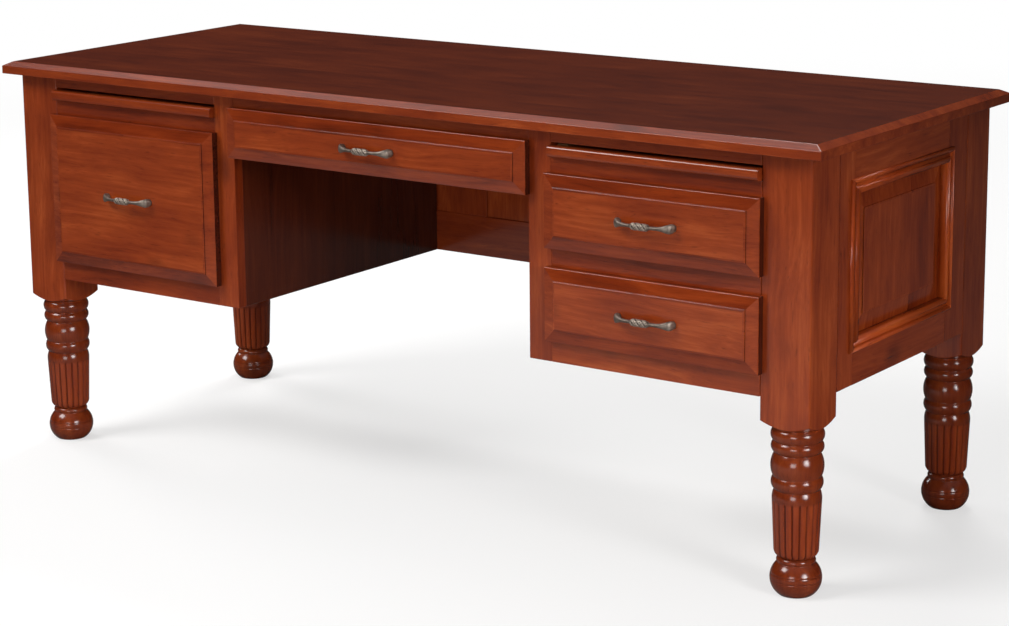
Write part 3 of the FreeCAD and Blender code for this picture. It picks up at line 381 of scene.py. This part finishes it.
# Legs: the turning's (kind, radius, height) from the square down, and other sizes, in millimetres
TURNING = [
    ("corner", 40, 289.3), ("crest", 45, 277.4), ("corner", 40.2, 266.5), ("crest", 44.3, 257),
    ("corner", 38.4, 246.5), ("crest", 44.7, 225.5), ("corner", 40.6, 205.8), ("crest", 43.8, 195.5),
    ("corner", 38.4, 183.2), ("crest", 41, 175.5), ("corner", 41.8, 166), ("corner", 38, 78.6),
    ("crest", 35, 70.4), ("corner", 27.7, 66.4), ("crest", 33.1, 61.4), ("corner", 32, 56),
    ("crest", 43.8, 32.9), ("corner", 29, 0),
]
LINE_STEP = 0.9
REEDS = 20
REED_VALLEY = 4.2
REED_DEPTH = 3.0
REED_CROWN = 0.5
REED_TOP = (160.0, 166.5)
REED_LOW = (66.4, 70.0)
FOOT_LINES = (37.0, 27.0)
FOOT_LINE_DEEP = 0.7
FOOT_LINE_WIDE = 0.7
SHOULDER_HIGH = 304.0
SHOULDER_RADIUS = 65.8
SHOULDER_ROWS = 28
ROW_GAP = 0.3
POST_ARRIS = 1.5
POST_LOW = 8.0
POST_ROWS = 8
SHOULDER_GUARDS = (4, 2, 0.5)
RING_GLAZE = 0.36
# Painted shade: how much darker the reed valleys and the incised foot lines are painted. The rings' darker
# tone above is their own.
VALLEY_PAINTED_SHADE = 0.6
FOOT_LINE_PAINTED_SHADE = 0.15
GLAZE_TOP = (286.0, 292.0)
ROUND_COLUMNS = 240


def arc_through(start, middle, end, step):
    """Points along the circle through three points, from start up to but not including end.

    The centre is equally far from all three; the angle runs from the start by way of the middle to the end.
    """
    matrix = 2 * np.array([middle - start, end - start])
    centre = np.linalg.solve(matrix, [middle @ middle - start @ start, end @ end - start @ start])
    radius = np.linalg.norm(start - centre)
    angles = np.arctan2(*np.array([start - centre, middle - centre, end - centre]).T[::-1])
    to_middle = (angles[1] - angles[0] + np.pi) % (2 * np.pi) - np.pi
    to_end = (angles[2] - angles[1] + np.pi) % (2 * np.pi) - np.pi
    count = max(6, int(radius * abs(to_middle + to_end) / step))
    turn = angles[0] + (to_middle + to_end) * np.arange(count) / count
    return centre + radius * np.stack([np.cos(turn), np.sin(turn)], axis=-1)


def lathe_line():
    """The turning's (radius, height) outline in millimetres, with its rounds as fine arcs."""
    spots = [(kind, np.array([radius, height])) for kind, radius, height in TURNING]
    stretches = []
    for (kind, spot), (next_kind, following), (_, last) in zip(spots, spots[1:], spots[2:] + spots[:1]):
        if kind == "corner" and next_kind == "crest":
            stretches.append(arc_through(spot, following, last, LINE_STEP))
        elif kind == "corner":
            count = int(np.linalg.norm(following - spot) / LINE_STEP)
            share = np.arange(count)[:, None] / count
            stretches.append(spot + (following - spot) * share)
    stretches.append(spots[-1][1][None])
    return np.concatenate(stretches)


def turned_leg(name):
    """A corner post and its turning, as one radius r(angle, height) about the post's middle.

    Above the shoulder r is a square's; at the shoulder it is the lesser of the square and a cone; below it is
    the lathe line less the reeds' valleys: V-shaped between slightly crowned reeds, run out at both ends.
    """
    low, high = (np.array(corner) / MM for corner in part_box(name))
    middle = (low + high) / 2
    half = (high[0] - low[0]) / 2
    angle = np.arange(ROUND_COLUMNS) * 2 * np.pi / ROUND_COLUMNS
    line = lathe_line()
    neck, neck_high = TURNING[0][1:]
    shoulder = np.linspace(SHOULDER_HIGH, neck_high + ROW_GAP, SHOULDER_ROWS)
    post = np.linspace(high[2] - ROW_GAP, SHOULDER_HIGH + POST_LOW, POST_ROWS)
    plain = np.concatenate([[high[2]], post, SHOULDER_HIGH + np.array(SHOULDER_GUARDS)])
    height = np.concatenate([plain, shoulder, line[:, 1]])[:, None]
    lathe = np.concatenate([np.full(len(plain) + len(shoulder), SHOULDER_RADIUS), line[:, 0]])[:, None]

    flat = np.maximum(abs(np.cos(angle)), abs(np.sin(angle)))
    corner = abs(np.cos(angle)) + abs(np.sin(angle))
    square = np.minimum(half / flat, (2 * half - POST_ARRIS) / corner)[None]
    rise = (height - neck_high) / (SHOULDER_HIGH - neck_high)
    cone = neck + (SHOULDER_RADIUS - neck) * rise
    radius = np.where(height > neck_high, np.minimum(square, np.maximum(cone, neck)), lathe)

    pitch = 2 * np.pi * lathe / REEDS
    off_middle = abs((angle[None] * REEDS / (2 * np.pi)) % 1 - 0.5) * pitch
    to_valley = pitch / 2 - off_middle
    groove = np.clip(1 - to_valley / (REED_VALLEY / 2), 0, 1) * REED_DEPTH
    valley = groove + REED_CROWN * (off_middle / pitch * 2) ** 2
    run = smooth_step(height, *REED_LOW) * (1 - smooth_step(height, *REED_TOP))
    incised = sum(np.exp(-((height - line_high) / FOOT_LINE_WIDE) ** 2) for line_high in FOOT_LINES)
    radius = radius - valley * run - FOOT_LINE_DEEP * incised

    # Darkness mixed into the leg's colour: the rings' and feet's own darker tone, plus painted shade in the
    # reed valleys and foot lines.
    tone_and_painted_shade = (RING_GLAZE * (1 - smooth_step(height, *GLAZE_TOP)) * (1 - run)
             + VALLEY_PAINTED_SHADE * valley / REED_DEPTH * run + FOOT_LINE_PAINTED_SHADE * incised)
    tone_and_painted_shade = np.clip(np.broadcast_to(tone_and_painted_shade, radius.shape), 0, 1)

    points = np.stack([middle[0] + radius * np.cos(angle), middle[1] + radius * np.sin(angle),
                       np.broadcast_to(height, radius.shape)], axis=-1)
    ringed_object(f"{name}_turned", [points[::-1] * MM], [CHERRY["Z"]], [0], "carcass", name,
                  "tone_and_painted_shade", tone_and_painted_shade[::-1])


for end in ("front", "back"):
    for side in ("left", "right"):
        turned_leg(f"{end}_{side}_leg")


# Pulls: a bow swept from foot to foot, in millimetres from the middle of its back
PULL_HALF = 54.0
PULL_OUT = 21.0
PULL_BEND = 0.42
NECK_TALL = 3.0
NECK_THICK = 3.2
PADDLE_AT = 9.5
PADDLE_LONG = 14.0
PADDLE_TALL = 5.2
PADDLE_THICK = 0.5
FOOT_DEEP = 9.0
FOOT_THICK = 1.6
GRIP_PAST = 3.0
GRIP_RUN = 10.0
GRIP_TALL = 2.4
GRIP_THICK = 1.2
BRAID_HALF = 18.5
BRAID_RUN = 4.0
BRAID_PITCH = 11.6
STRANDS = 3
WIRES_APART = 1.6
WIRE_HALF = 1.7
WIRE_RISE = 1.35
WIRE_SUNK = 0.4
WIRE_OVER = 0.2
PULL_ROWS = 420
PULL_COLUMNS = 120
ROW_CROWDING = 1.15

# Wear of the pewter: plain metal, the braid's range about its middle, the paddles; and the foot, darker near
# the wood
WORN_PLAIN = 0.48
WORN_BRAID = 0.75
BRAID_MIDDLE = 0.68
WORN_PADDLE = 0.12
FOOT_DARKER = 0.2
FOOT_DARKER_REACH = 4.0


def bow_pull(name, body):
    """A cast pull: an oval section carried along a bow, broad at the feet and swollen under a braid.

    The bow is x = A sin u, y = -B cos(u)^k. Strands of the braid are two sets of helices round the grip, each
    of two wires; a wire's height over the grip is a half circle of the distance from its middle line, and
    where two strands cross, the sign of a product of cosines says which lies over the other.
    """
    low, high = (np.array(corner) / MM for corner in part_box(name))
    middle = np.array([(low[0] + high[0]) / 2, high[1], (low[2] + high[2]) / 2])
    spread = np.linspace(-1, 1, PULL_ROWS)
    turn = np.sign(spread) * abs(spread) ** ROW_CROWDING * np.pi / 2
    path = np.stack([PULL_HALF * np.sin(turn), -PULL_OUT * np.cos(turn) ** PULL_BEND], axis=-1)
    path[[0, -1], 1] = 0
    tangent = np.gradient(path, axis=0)
    tangent /= np.linalg.norm(tangent, axis=1)[:, None]
    outward = np.stack([tangent[:, 1], -tangent[:, 0]], axis=-1)
    walked = np.concatenate([[0], np.cumsum(np.linalg.norm(np.diff(path, axis=0), axis=1))])
    from_foot = np.minimum(walked, walked[-1] - walked)

    paddle = np.exp(-((from_foot - PADDLE_AT) / PADDLE_LONG) ** 2)
    grip = smooth_step(BRAID_HALF + GRIP_PAST - abs(path[:, 0]), 0, GRIP_RUN)
    half_tall = NECK_TALL + PADDLE_TALL * paddle + GRIP_TALL * grip
    foot = smooth_step(path[:, 1], -FOOT_DEEP, 0)
    half_thick = NECK_THICK + PADDLE_THICK * paddle + GRIP_THICK * grip + FOOT_THICK * foot

    around = np.arange(PULL_COLUMNS) * 2 * np.pi / PULL_COLUMNS
    along = path[:, :1]
    strand = np.zeros((PULL_ROWS, PULL_COLUMNS))
    circle = around[None] * STRANDS / (2 * np.pi)
    for hand in (-1, 1):
        across = (along / BRAID_PITCH + hand * circle) % 1
        off = abs(abs(across - 0.5) * BRAID_PITCH * math.sqrt(0.5) - WIRES_APART)
        crossing = np.cos(2 * np.pi * circle) * np.cos(2 * np.pi * along / BRAID_PITCH)
        over = 1 + WIRE_OVER * hand * np.sign(crossing)
        strand = np.maximum(strand, np.sqrt(np.clip(1 - (off / WIRE_HALF) ** 2, 0, 1)) * over)
    braided = smooth_step(BRAID_HALF - abs(along), 0, BRAID_RUN)
    rise = (strand - WIRE_SUNK) * WIRE_RISE * braided

    wide = (half_thick[:, None] + rise) * np.cos(around)
    tall = (half_tall[:, None] + rise) * np.sin(around)
    place = path[:, None] + wide[..., None] * outward[:, None]
    points = np.concatenate([place, tall[..., None]], axis=-1)
    points[..., 1] = np.minimum(points[..., 1], 0)
    ridge = WORN_PLAIN + (strand - BRAID_MIDDLE) * braided * WORN_BRAID
    # The foot is made darker near the wood.
    darker_foot = FOOT_DARKER * smooth_step(points[..., 1], -FOOT_DARKER_REACH, 0)
    ridge = ridge + WORN_PADDLE * paddle[:, None] - darker_foot
    ringed_object(f"{name}_cast", [(points + middle) * MM], [PEWTER], [0], body, name,
                  "ridge", ridge)


DRAWERS = ("upper_drawer", "lower_drawer", "file_drawer", "centre_drawer")
for drawer in DRAWERS:
    bow_pull(f"{drawer}_pull", drawer)


# Mouldings round the panels: sizes of the strip's section in millimetres
STRIP_WIDE = 26.0
STRIP_SEAT = 13.5
STRIP_DEEP = 10.0
BEAD_HALF = 4.6
BEAD_RISE = 5.6
HOLLOW_LOW = 0.8
HOLLOW_WIDE = 6.4
HOLLOW_RISE = 1.6
CREST_RISE = 4.0
CURVE_STEPS = 10

# The way between the middles of the back's panels, in metres
PANEL_PITCH = 0.5174


def strip_section():
    """The strip's section: across from its outer edge, and out from the frame's face.

    A half ellipse for the bead, a quarter ellipse for the hollow, a half ellipse for the crest, the back.
    """
    half_turn = np.linspace(0, np.pi, 2 * CURVE_STEPS + 1)
    quarter = half_turn[1:CURVE_STEPS + 1]
    hollow_end = 2 * BEAD_HALF + HOLLOW_WIDE
    crest_half = (STRIP_WIDE - hollow_end) / 2
    bead = np.stack([BEAD_HALF * (1 - np.cos(half_turn)),
                     HOLLOW_LOW + BEAD_RISE * np.sin(half_turn)], axis=-1)
    hollow = np.stack([2 * BEAD_HALF + HOLLOW_WIDE * np.sin(quarter),
                       HOLLOW_LOW + HOLLOW_RISE * (1 - np.cos(quarter))], axis=-1)
    crest = np.stack([hollow_end + crest_half * (1 - np.cos(half_turn[1:])),
                      HOLLOW_LOW + HOLLOW_RISE + CREST_RISE * np.sin(half_turn[1:])], axis=-1)
    back = [(STRIP_WIDE, 0), (STRIP_WIDE, -STRIP_DEEP), (STRIP_SEAT, -STRIP_DEEP), (STRIP_SEAT, 0), (0, 0)]
    return np.concatenate([bead, hollow, crest, back])


def moulding_frame(centre, aside, out, half_wide, half_tall):
    """Four strips round a panel, mitred: each line of a strip is shorter at both ends by its way in."""
    across, proud = (strip_section() * MM).T
    up = np.array([0.0, 0.0, 1.0])
    grids = []
    for toward, reach, half_long in ((up, half_tall, half_wide), (-up, half_tall, half_wide),
                                     (aside, half_wide, half_tall), (-aside, half_wide, half_tall)):
        along = np.cross(toward, out)
        section = centre + toward * (reach - across)[:, None] + out * proud[:, None]
        ends = [section + along * (end * (half_long - across))[:, None] for end in (-1, 1)]
        grids.append(np.array(ends))
    return grids


def mouldings(name, frame_node, axis, side, places, level):
    """The mouldings of one node: a frame of strips at each place along the wall that faces the axis's side.

    The strips that lie level have their own grain; the upright ones have grain along z.
    """
    low, high = (np.array(corner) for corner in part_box(name))
    wall_low, wall_high = (np.array(corner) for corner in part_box(frame_node))
    centre = (low + high) / 2
    centre[axis] = wall_high[axis] if side > 0 else wall_low[axis]
    out = np.eye(3)[axis] * side
    other = 1 - axis
    half_wide = (high[other] - low[other]) / 2 - max(places)
    grids = []
    for place in places:
        grids += moulding_frame(centre + np.eye(3)[other] * place, np.eye(3)[other], out, half_wide,
                                (high[2] - low[2]) / 2)
    numbers = [0, 0, 1, 1] * len(places)
    # The strips take the lighter copy of the cherry, which paints light onto them.
    ringed_object(f"{name}_swept", grids, [CHERRY_BEAD_PAINTED_LIGHT[level], CHERRY_BEAD_PAINTED_LIGHT["Z"]], numbers, "carcass", name)


mouldings("left_side_moulding", "left_side_frame", 0, -1, [0.0], "Y")
mouldings("right_side_moulding", "right_side_frame", 0, 1, [0.0], "Y")
mouldings("back_mouldings", "back_frame", 1, 1, [-PANEL_PITCH, 0.0, PANEL_PITCH], "X")


# Raised boards: the (way in from the edge, way out from the back) of their outline, and its corners' easing
FRONT_LINE = [(0, 0), (0, 14), (22, 19), (22, 21.5), (26, 21.5)]
FRONT_EASING = (1.4, 0.5, 1.3)
PANEL_LINE = [(0, 0), (0, 6), (8, 6), (51, 12), (51, 14), (55, 14)]
PANEL_EASING = (0.5, 0.5, 0.4, 1.1)
CORNER_STEPS = 7
GUARD = 0.05
END_FACING = 0.95


def eased_line(spots, easing):
    """A line through spots, with a quadratic curve at each inner corner and a close point on both sides."""
    spots = np.array(spots, float)
    share = np.linspace(0, 1, CORNER_STEPS)[:, None]
    rows = [spots[:1]]
    for before, corner, after, reach in zip(spots, spots[1:], spots[2:], easing):
        back = (before - corner) / np.linalg.norm(before - corner)
        onward = (after - corner) / np.linalg.norm(after - corner)
        start = corner + back * reach
        end = corner + onward * reach
        curve = (1 - share) ** 2 * start + 2 * share * (1 - share) * corner + share ** 2 * end
        rows += [[start + back * GUARD], curve, [end + onward * GUARD]]
    rows.append(spots[-1:])
    return np.concatenate(rows)


def raised_boards(name, body, material, out, line, places=(0.0,)):
    """Boards with a raised field, one at each place: a rectangle that shrinks and comes out along the line.

    Their corners are mitred, and their two ends are end grain, painted darker: partly end grain's own tone,
    partly painted shade.
    """
    low, high = (np.array(corner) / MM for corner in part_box(name))
    out = np.array(out, float)
    up = np.array([0.0, 0.0, 1.0])
    aside = np.cross(up, out)
    half = (high - low) / 2
    half_wide = abs(aside) @ half - max(places)
    back = (low + high) / 2 - out * (abs(out) @ half)
    inset, proud = line.T[:, :, None]
    wide = (half_wide - inset) * np.array([1, 1, -1, -1])
    tall = (half[2] - inset) * np.array([-1, 1, 1, -1])
    board = wide[..., None] * aside + tall[..., None] * up + proud[..., None] * out + back
    grids = [(board + aside * place) * MM for place in places]
    made = ringed_object(f"{name}_raised", grids, [material, CHERRY_END_GRAIN_AND_PAINTED_SHADE], [0] * len(grids), body, name,
                         mitred=True)
    # The ends take the end-grain material, which is darker partly in its own tone and partly as painted
    # shade.
    second_finish(made.data, abs(of_faces(made.data, "normal") @ aside) > END_FACING)


for drawer in DRAWERS:
    raised_boards(f"{drawer}_front", drawer, CHERRY["X"], (0, -1, 0), eased_line(FRONT_LINE, FRONT_EASING))
panel_line = eased_line(PANEL_LINE, PANEL_EASING)
raised_boards("left_side_panel", "carcass", CHERRY_STAVES, (-1, 0, 0), panel_line)
raised_boards("right_side_panel", "carcass", CHERRY_STAVES, (1, 0, 0), panel_line)
back_places = np.array([-PANEL_PITCH, 0.0, PANEL_PITCH]) / MM
raised_boards("back_panels", "carcass", CHERRY_STAVES, (0, 1, 0), panel_line, back_places)


# Finishes of the CAD pieces, with sizes in metres
WELD_WITHIN = 1e-5
EASED_EDGE = 0.0013
EDGE_SEGMENTS = 3
EDGE_TURN = math.radians(7)
TOP_FACING = 0.9
FRAME_LIP = 0.013
BACK_STILE_IN = 0.724
MUNTIN_HALF = 0.052
RAIL_INNER = (0.43, 0.665)
BOX_BOARD = 0.013


def shade(name, smooth):
    """Drops the normals that a CAD piece came with, and shades its faces smooth or flat."""
    mesh = nodes[name].data
    if "custom_normal" in mesh.attributes:
        mesh.attributes.remove(mesh.attributes["custom_normal"])
    mesh.polygons.foreach_set("use_smooth", np.full(len(mesh.polygons), smooth))


def ease(name):
    """Joins a CAD piece's triangles, rounds its sharp edges and keeps its flat faces flat."""
    shade(name, True)
    weld = nodes[name].modifiers.new("weld", "WELD")
    weld.merge_threshold = WELD_WITHIN
    bevel = nodes[name].modifiers.new("eased", "BEVEL")
    bevel.width = EASED_EDGE
    bevel.segments = EDGE_SEGMENTS
    bevel.limit_method = "ANGLE"
    bevel.angle_limit = EDGE_TURN
    bevel.harden_normals = True


def finish(name, *materials):
    """Gives a CAD piece its materials in place of the plain one that it came with."""
    nodes[name].data.materials.clear()
    for material in materials:
        nodes[name].data.materials.append(material)


PIECES_BY_GRAIN = {
    "X": ("left_front_rails", "right_front_rails", "kneehole_rail", "left_board_edge", "right_board_edge"),
    "Z": ("left_inner_stile", "right_inner_stile"),
}
for grain, names in PIECES_BY_GRAIN.items():
    for name in names:
        finish(name, CHERRY[grain])
        ease(name)
for side in ("left", "right"):
    # The writing board takes the top's painted-shade copy of the cherry.
    finish(f"{side}_writing_board", CHERRY_TOP_PAINTED_SHADE)
    ease(f"{side}_writing_board")
    # The kneehole's inner board takes the darker painted-shade copy of the cherry.
    finish(f"{side}_inner_board", CHERRY_KNEEHOLE_PAINTED_SHADE)
    ease(f"{side}_inner_board")
# The top's level faces take the painted-shade copy of the cherry; its edges and chamfers take the plain
# cherry.
finish("desk_top", CHERRY_TOP_PAINTED_SHADE, CHERRY["X"])
top_mesh = nodes["desk_top"].data
second_finish(top_mesh, abs(of_faces(top_mesh, "normal")[:, 2]) < TOP_FACING)
ease("desk_top")

for side in ("left", "right"):
    name = f"{side}_side_frame"
    finish(name, CHERRY["Y"], CHERRY["Z"])
    opening_low, opening_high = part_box(f"{side}_side_moulding")
    y = of_faces(nodes[name].data, "center")[:, 1]
    second_finish(nodes[name].data, (y < opening_low.y + FRAME_LIP) | (y > opening_high.y - FRAME_LIP))
    ease(name)

back_mesh = nodes["back_frame"].data
x, _, z = of_faces(back_mesh, "center").T
between_rails = (z > RAIL_INNER[0]) & (z < RAIL_INNER[1])
on_muntin = (abs(abs(x) - PANEL_PITCH / 2) < MUNTIN_HALF) & between_rails
finish("back_frame", CHERRY["X"], CHERRY["Z"])
second_finish(back_mesh, (abs(x) > BACK_STILE_IN) | on_muntin)
ease("back_frame")

for name in nodes:
    if name.endswith("_box"):
        low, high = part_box(name)
        y = of_faces(nodes[name].data, "center")[:, 1]
        finish(name, MAPLE["X"], MAPLE["Y"])
        second_finish(nodes[name].data, (y > low.y + BOX_BOARD) & (y < high.y - BOX_BOARD))
        shade(name, False)
    elif name.endswith("_bottom") or name in ("board_guides", "slide_cleats", "pedestal_bottoms"):
        finish(name, MAPLE["Y"])
        ease(name)
    elif name.endswith(("_runners", "_slide_middles", "slide_channels", "_screws", "_hanger_rails")):
        finish(name, ZINC)


# Stage: the floor's colour to the camera, and to light and reflections near its lit middle and farther off
FLOOR_SEEN = paint(244, 243, 242)
FLOOR_LIT = paint(178, 176, 174)
FLOOR_AROUND = paint(96, 94, 92)
FLOOR_HALF = 30.0
LIT_MIDDLE = (0.2, -1.5, 0.0)
LIT = (0.9, 2.0)
FADE = (2.0, 6.0)
FADE_LEAST = 0.58
SKY_STOPS = [
    (0.0, (0.01, 0.01, 0.01, 1)),
    (0.4, (0.03, 0.03, 0.03, 1)),
    (1.0, (0.4, 0.4, 0.4, 1)),
]


def pale_floor():
    """A flat pale floor that runs out to plain white far from the desk.

    To light and reflections it is pale in front of the desk and grey farther off, like a lit sweep in a dim
    studio.
    """
    mesh = bpy.data.meshes.new("floor")
    corners = [(-FLOOR_HALF, -FLOOR_HALF, 0), (FLOOR_HALF, -FLOOR_HALF, 0), (FLOOR_HALF, FLOOR_HALF, 0),
               (-FLOOR_HALF, FLOOR_HALF, 0)]
    mesh.from_pydata(corners, [], [(0, 1, 2, 3)])
    shader = Shader("pale_floor")
    place = shader.add("ShaderNodeTexCoord").outputs["Object"]
    far = shader.add("ShaderNodeVectorMath", {0: place}, operation="LENGTH").outputs["Value"]
    fade = shader.add("ShaderNodeMapRange", {"Value": far, "From Min": FADE[0], "From Max": FADE[1],
                                             "To Min": FADE_LEAST}, interpolation_type="SMOOTHSTEP")
    seen = shader.add("ShaderNodeLightPath").outputs["Is Camera Ray"]
    share = shader.math("MULTIPLY", fade.outputs["Result"], seen)
    # Painted pool of light: to light and reflections the floor is paler near the lit middle in front of the
    # desk and greyer farther off.
    off_pool = shader.add("ShaderNodeVectorMath", {0: place, 1: LIT_MIDDLE}, operation="DISTANCE")
    unlit = shader.add("ShaderNodeMapRange", {"Value": off_pool.outputs["Value"], "From Min": LIT[0],
                                              "From Max": LIT[1]}, interpolation_type="SMOOTHSTEP")
    around = shader.mix(unlit.outputs["Result"], FLOOR_LIT, FLOOR_AROUND)
    colour = shader.mix(seen, around, FLOOR_SEEN)
    shader.set(Base_Color=colour, Roughness=0.9, Specular_IOR_Level=0.0)
    white = shader.add("ShaderNodeEmission", {"Color": (1, 1, 1, 1), "Strength": 1.0})
    mixed = shader.add("ShaderNodeMixShader", {0: share, 1: shader.surface.outputs[0], 2: white.outputs[0]})
    shader.tree.links.new(mixed.outputs[0], shader.tree.nodes["Material Output"].inputs["Surface"])
    mesh.materials.append(shader.material)
    floor = bpy.data.objects.new("floor", mesh)
    scene.collection.objects.link(floor)


def studio_sky():
    """White to the camera; to the desk, a dim horizon that grows brighter overhead."""
    world = bpy.data.worlds.new("studio")
    world.use_nodes = True
    tree = world.node_tree
    direction = tree.nodes.new("ShaderNodeTexCoord").outputs["Generated"]
    parts = tree.nodes.new("ShaderNodeSeparateXYZ")
    tree.links.new(direction, parts.inputs[0])
    ramp = tree.nodes.new("ShaderNodeValToRGB")
    ramp.color_ramp.elements.new(0.5)
    for element, (place, colour) in zip(ramp.color_ramp.elements, SKY_STOPS):
        element.position = place
        element.color = colour
    tree.links.new(parts.outputs["Z"], ramp.inputs["Fac"])
    sky = tree.nodes["Background"]
    tree.links.new(ramp.outputs["Color"], sky.inputs["Color"])
    white = tree.nodes.new("ShaderNodeBackground")
    white.inputs["Color"].default_value = (1, 1, 1, 1)
    choose = tree.nodes.new("ShaderNodeMixShader")
    tree.links.new(tree.nodes.new("ShaderNodeLightPath").outputs["Is Camera Ray"], choose.inputs[0])
    tree.links.new(sky.outputs[0], choose.inputs[1])
    tree.links.new(white.outputs[0], choose.inputs[2])
    tree.links.new(choose.outputs[0], tree.nodes["World Output"].inputs["Surface"])
    scene.world = world


# Lamps: name, place, point looked at, width, height, watts, spread in degrees
LAMPS = [
    ("key", (-3.2, -4.4, 5.4), (0.0, -0.2, 0.4), 3.2, 2.4, 345, 180),
    ("side", (3.5, -1.6, 1.1), (0.88, -0.75, 0.2), 1.8, 1.5, 7.4, 34),
    ("front", (1.8, -5.4, 1.0), (0.3, 0.0, 0.3), 2.0, 1.5, 80, 180),
    ("overhead", (-2.6, 0.6, 4.0), (-0.4, 0.0, 0.6), 3.0, 2.4, 18, 180),
    ("left", (-4.4, 0.8, 2.4), (-0.6, 0.0, 0.4), 1.4, 1.2, 55, 180),
    ("back", (-1.2, 3.4, 4.8), (0.1, 0.2, 0.4), 2.0, 1.4, 140, 180),
]


def softboxes():
    """Broad area lamps that look at the desk."""
    for name, place, target, wide, tall, watts, spread in LAMPS:
        lamp = bpy.data.lights.new(name, "AREA")
        lamp.shape = "RECTANGLE"
        lamp.size = wide
        lamp.size_y = tall
        lamp.energy = watts
        lamp.spread = math.radians(spread)
        made = bpy.data.objects.new(name, lamp)
        made.location = place
        made.rotation_euler = (Vector(target) - Vector(place)).to_track_quat("-Z", "Y").to_euler()
        scene.collection.objects.link(made)


CAMERA_PLACE = Vector((2.813, -3.873, 1.479))
CAMERA_AIM = Vector((-0.5674, 0.7973, -0.2058))
CAMERA_ROLL = math.radians(-0.57)
CAMERA_SENSOR = 36
CAMERA_LENS = 91.55
CAMERA_SHIFT = -0.08


def photo_camera():
    """The camera at the photograph's place, aim and lens."""
    lens = bpy.data.cameras.new("camera")
    lens.sensor_width = CAMERA_SENSOR
    lens.lens = CAMERA_LENS
    lens.shift_y = CAMERA_SHIFT
    made = bpy.data.objects.new("camera", lens)
    aimed = CAMERA_AIM.to_track_quat("-Z", "Y").to_matrix().to_4x4()
    rolled = Matrix.Rotation(CAMERA_ROLL, 4, "Z")
    made.matrix_world = Matrix.Translation(CAMERA_PLACE) @ aimed @ rolled
    scene.collection.objects.link(made)
    scene.camera = made


pale_floor()
studio_sky()
softboxes()
photo_camera()
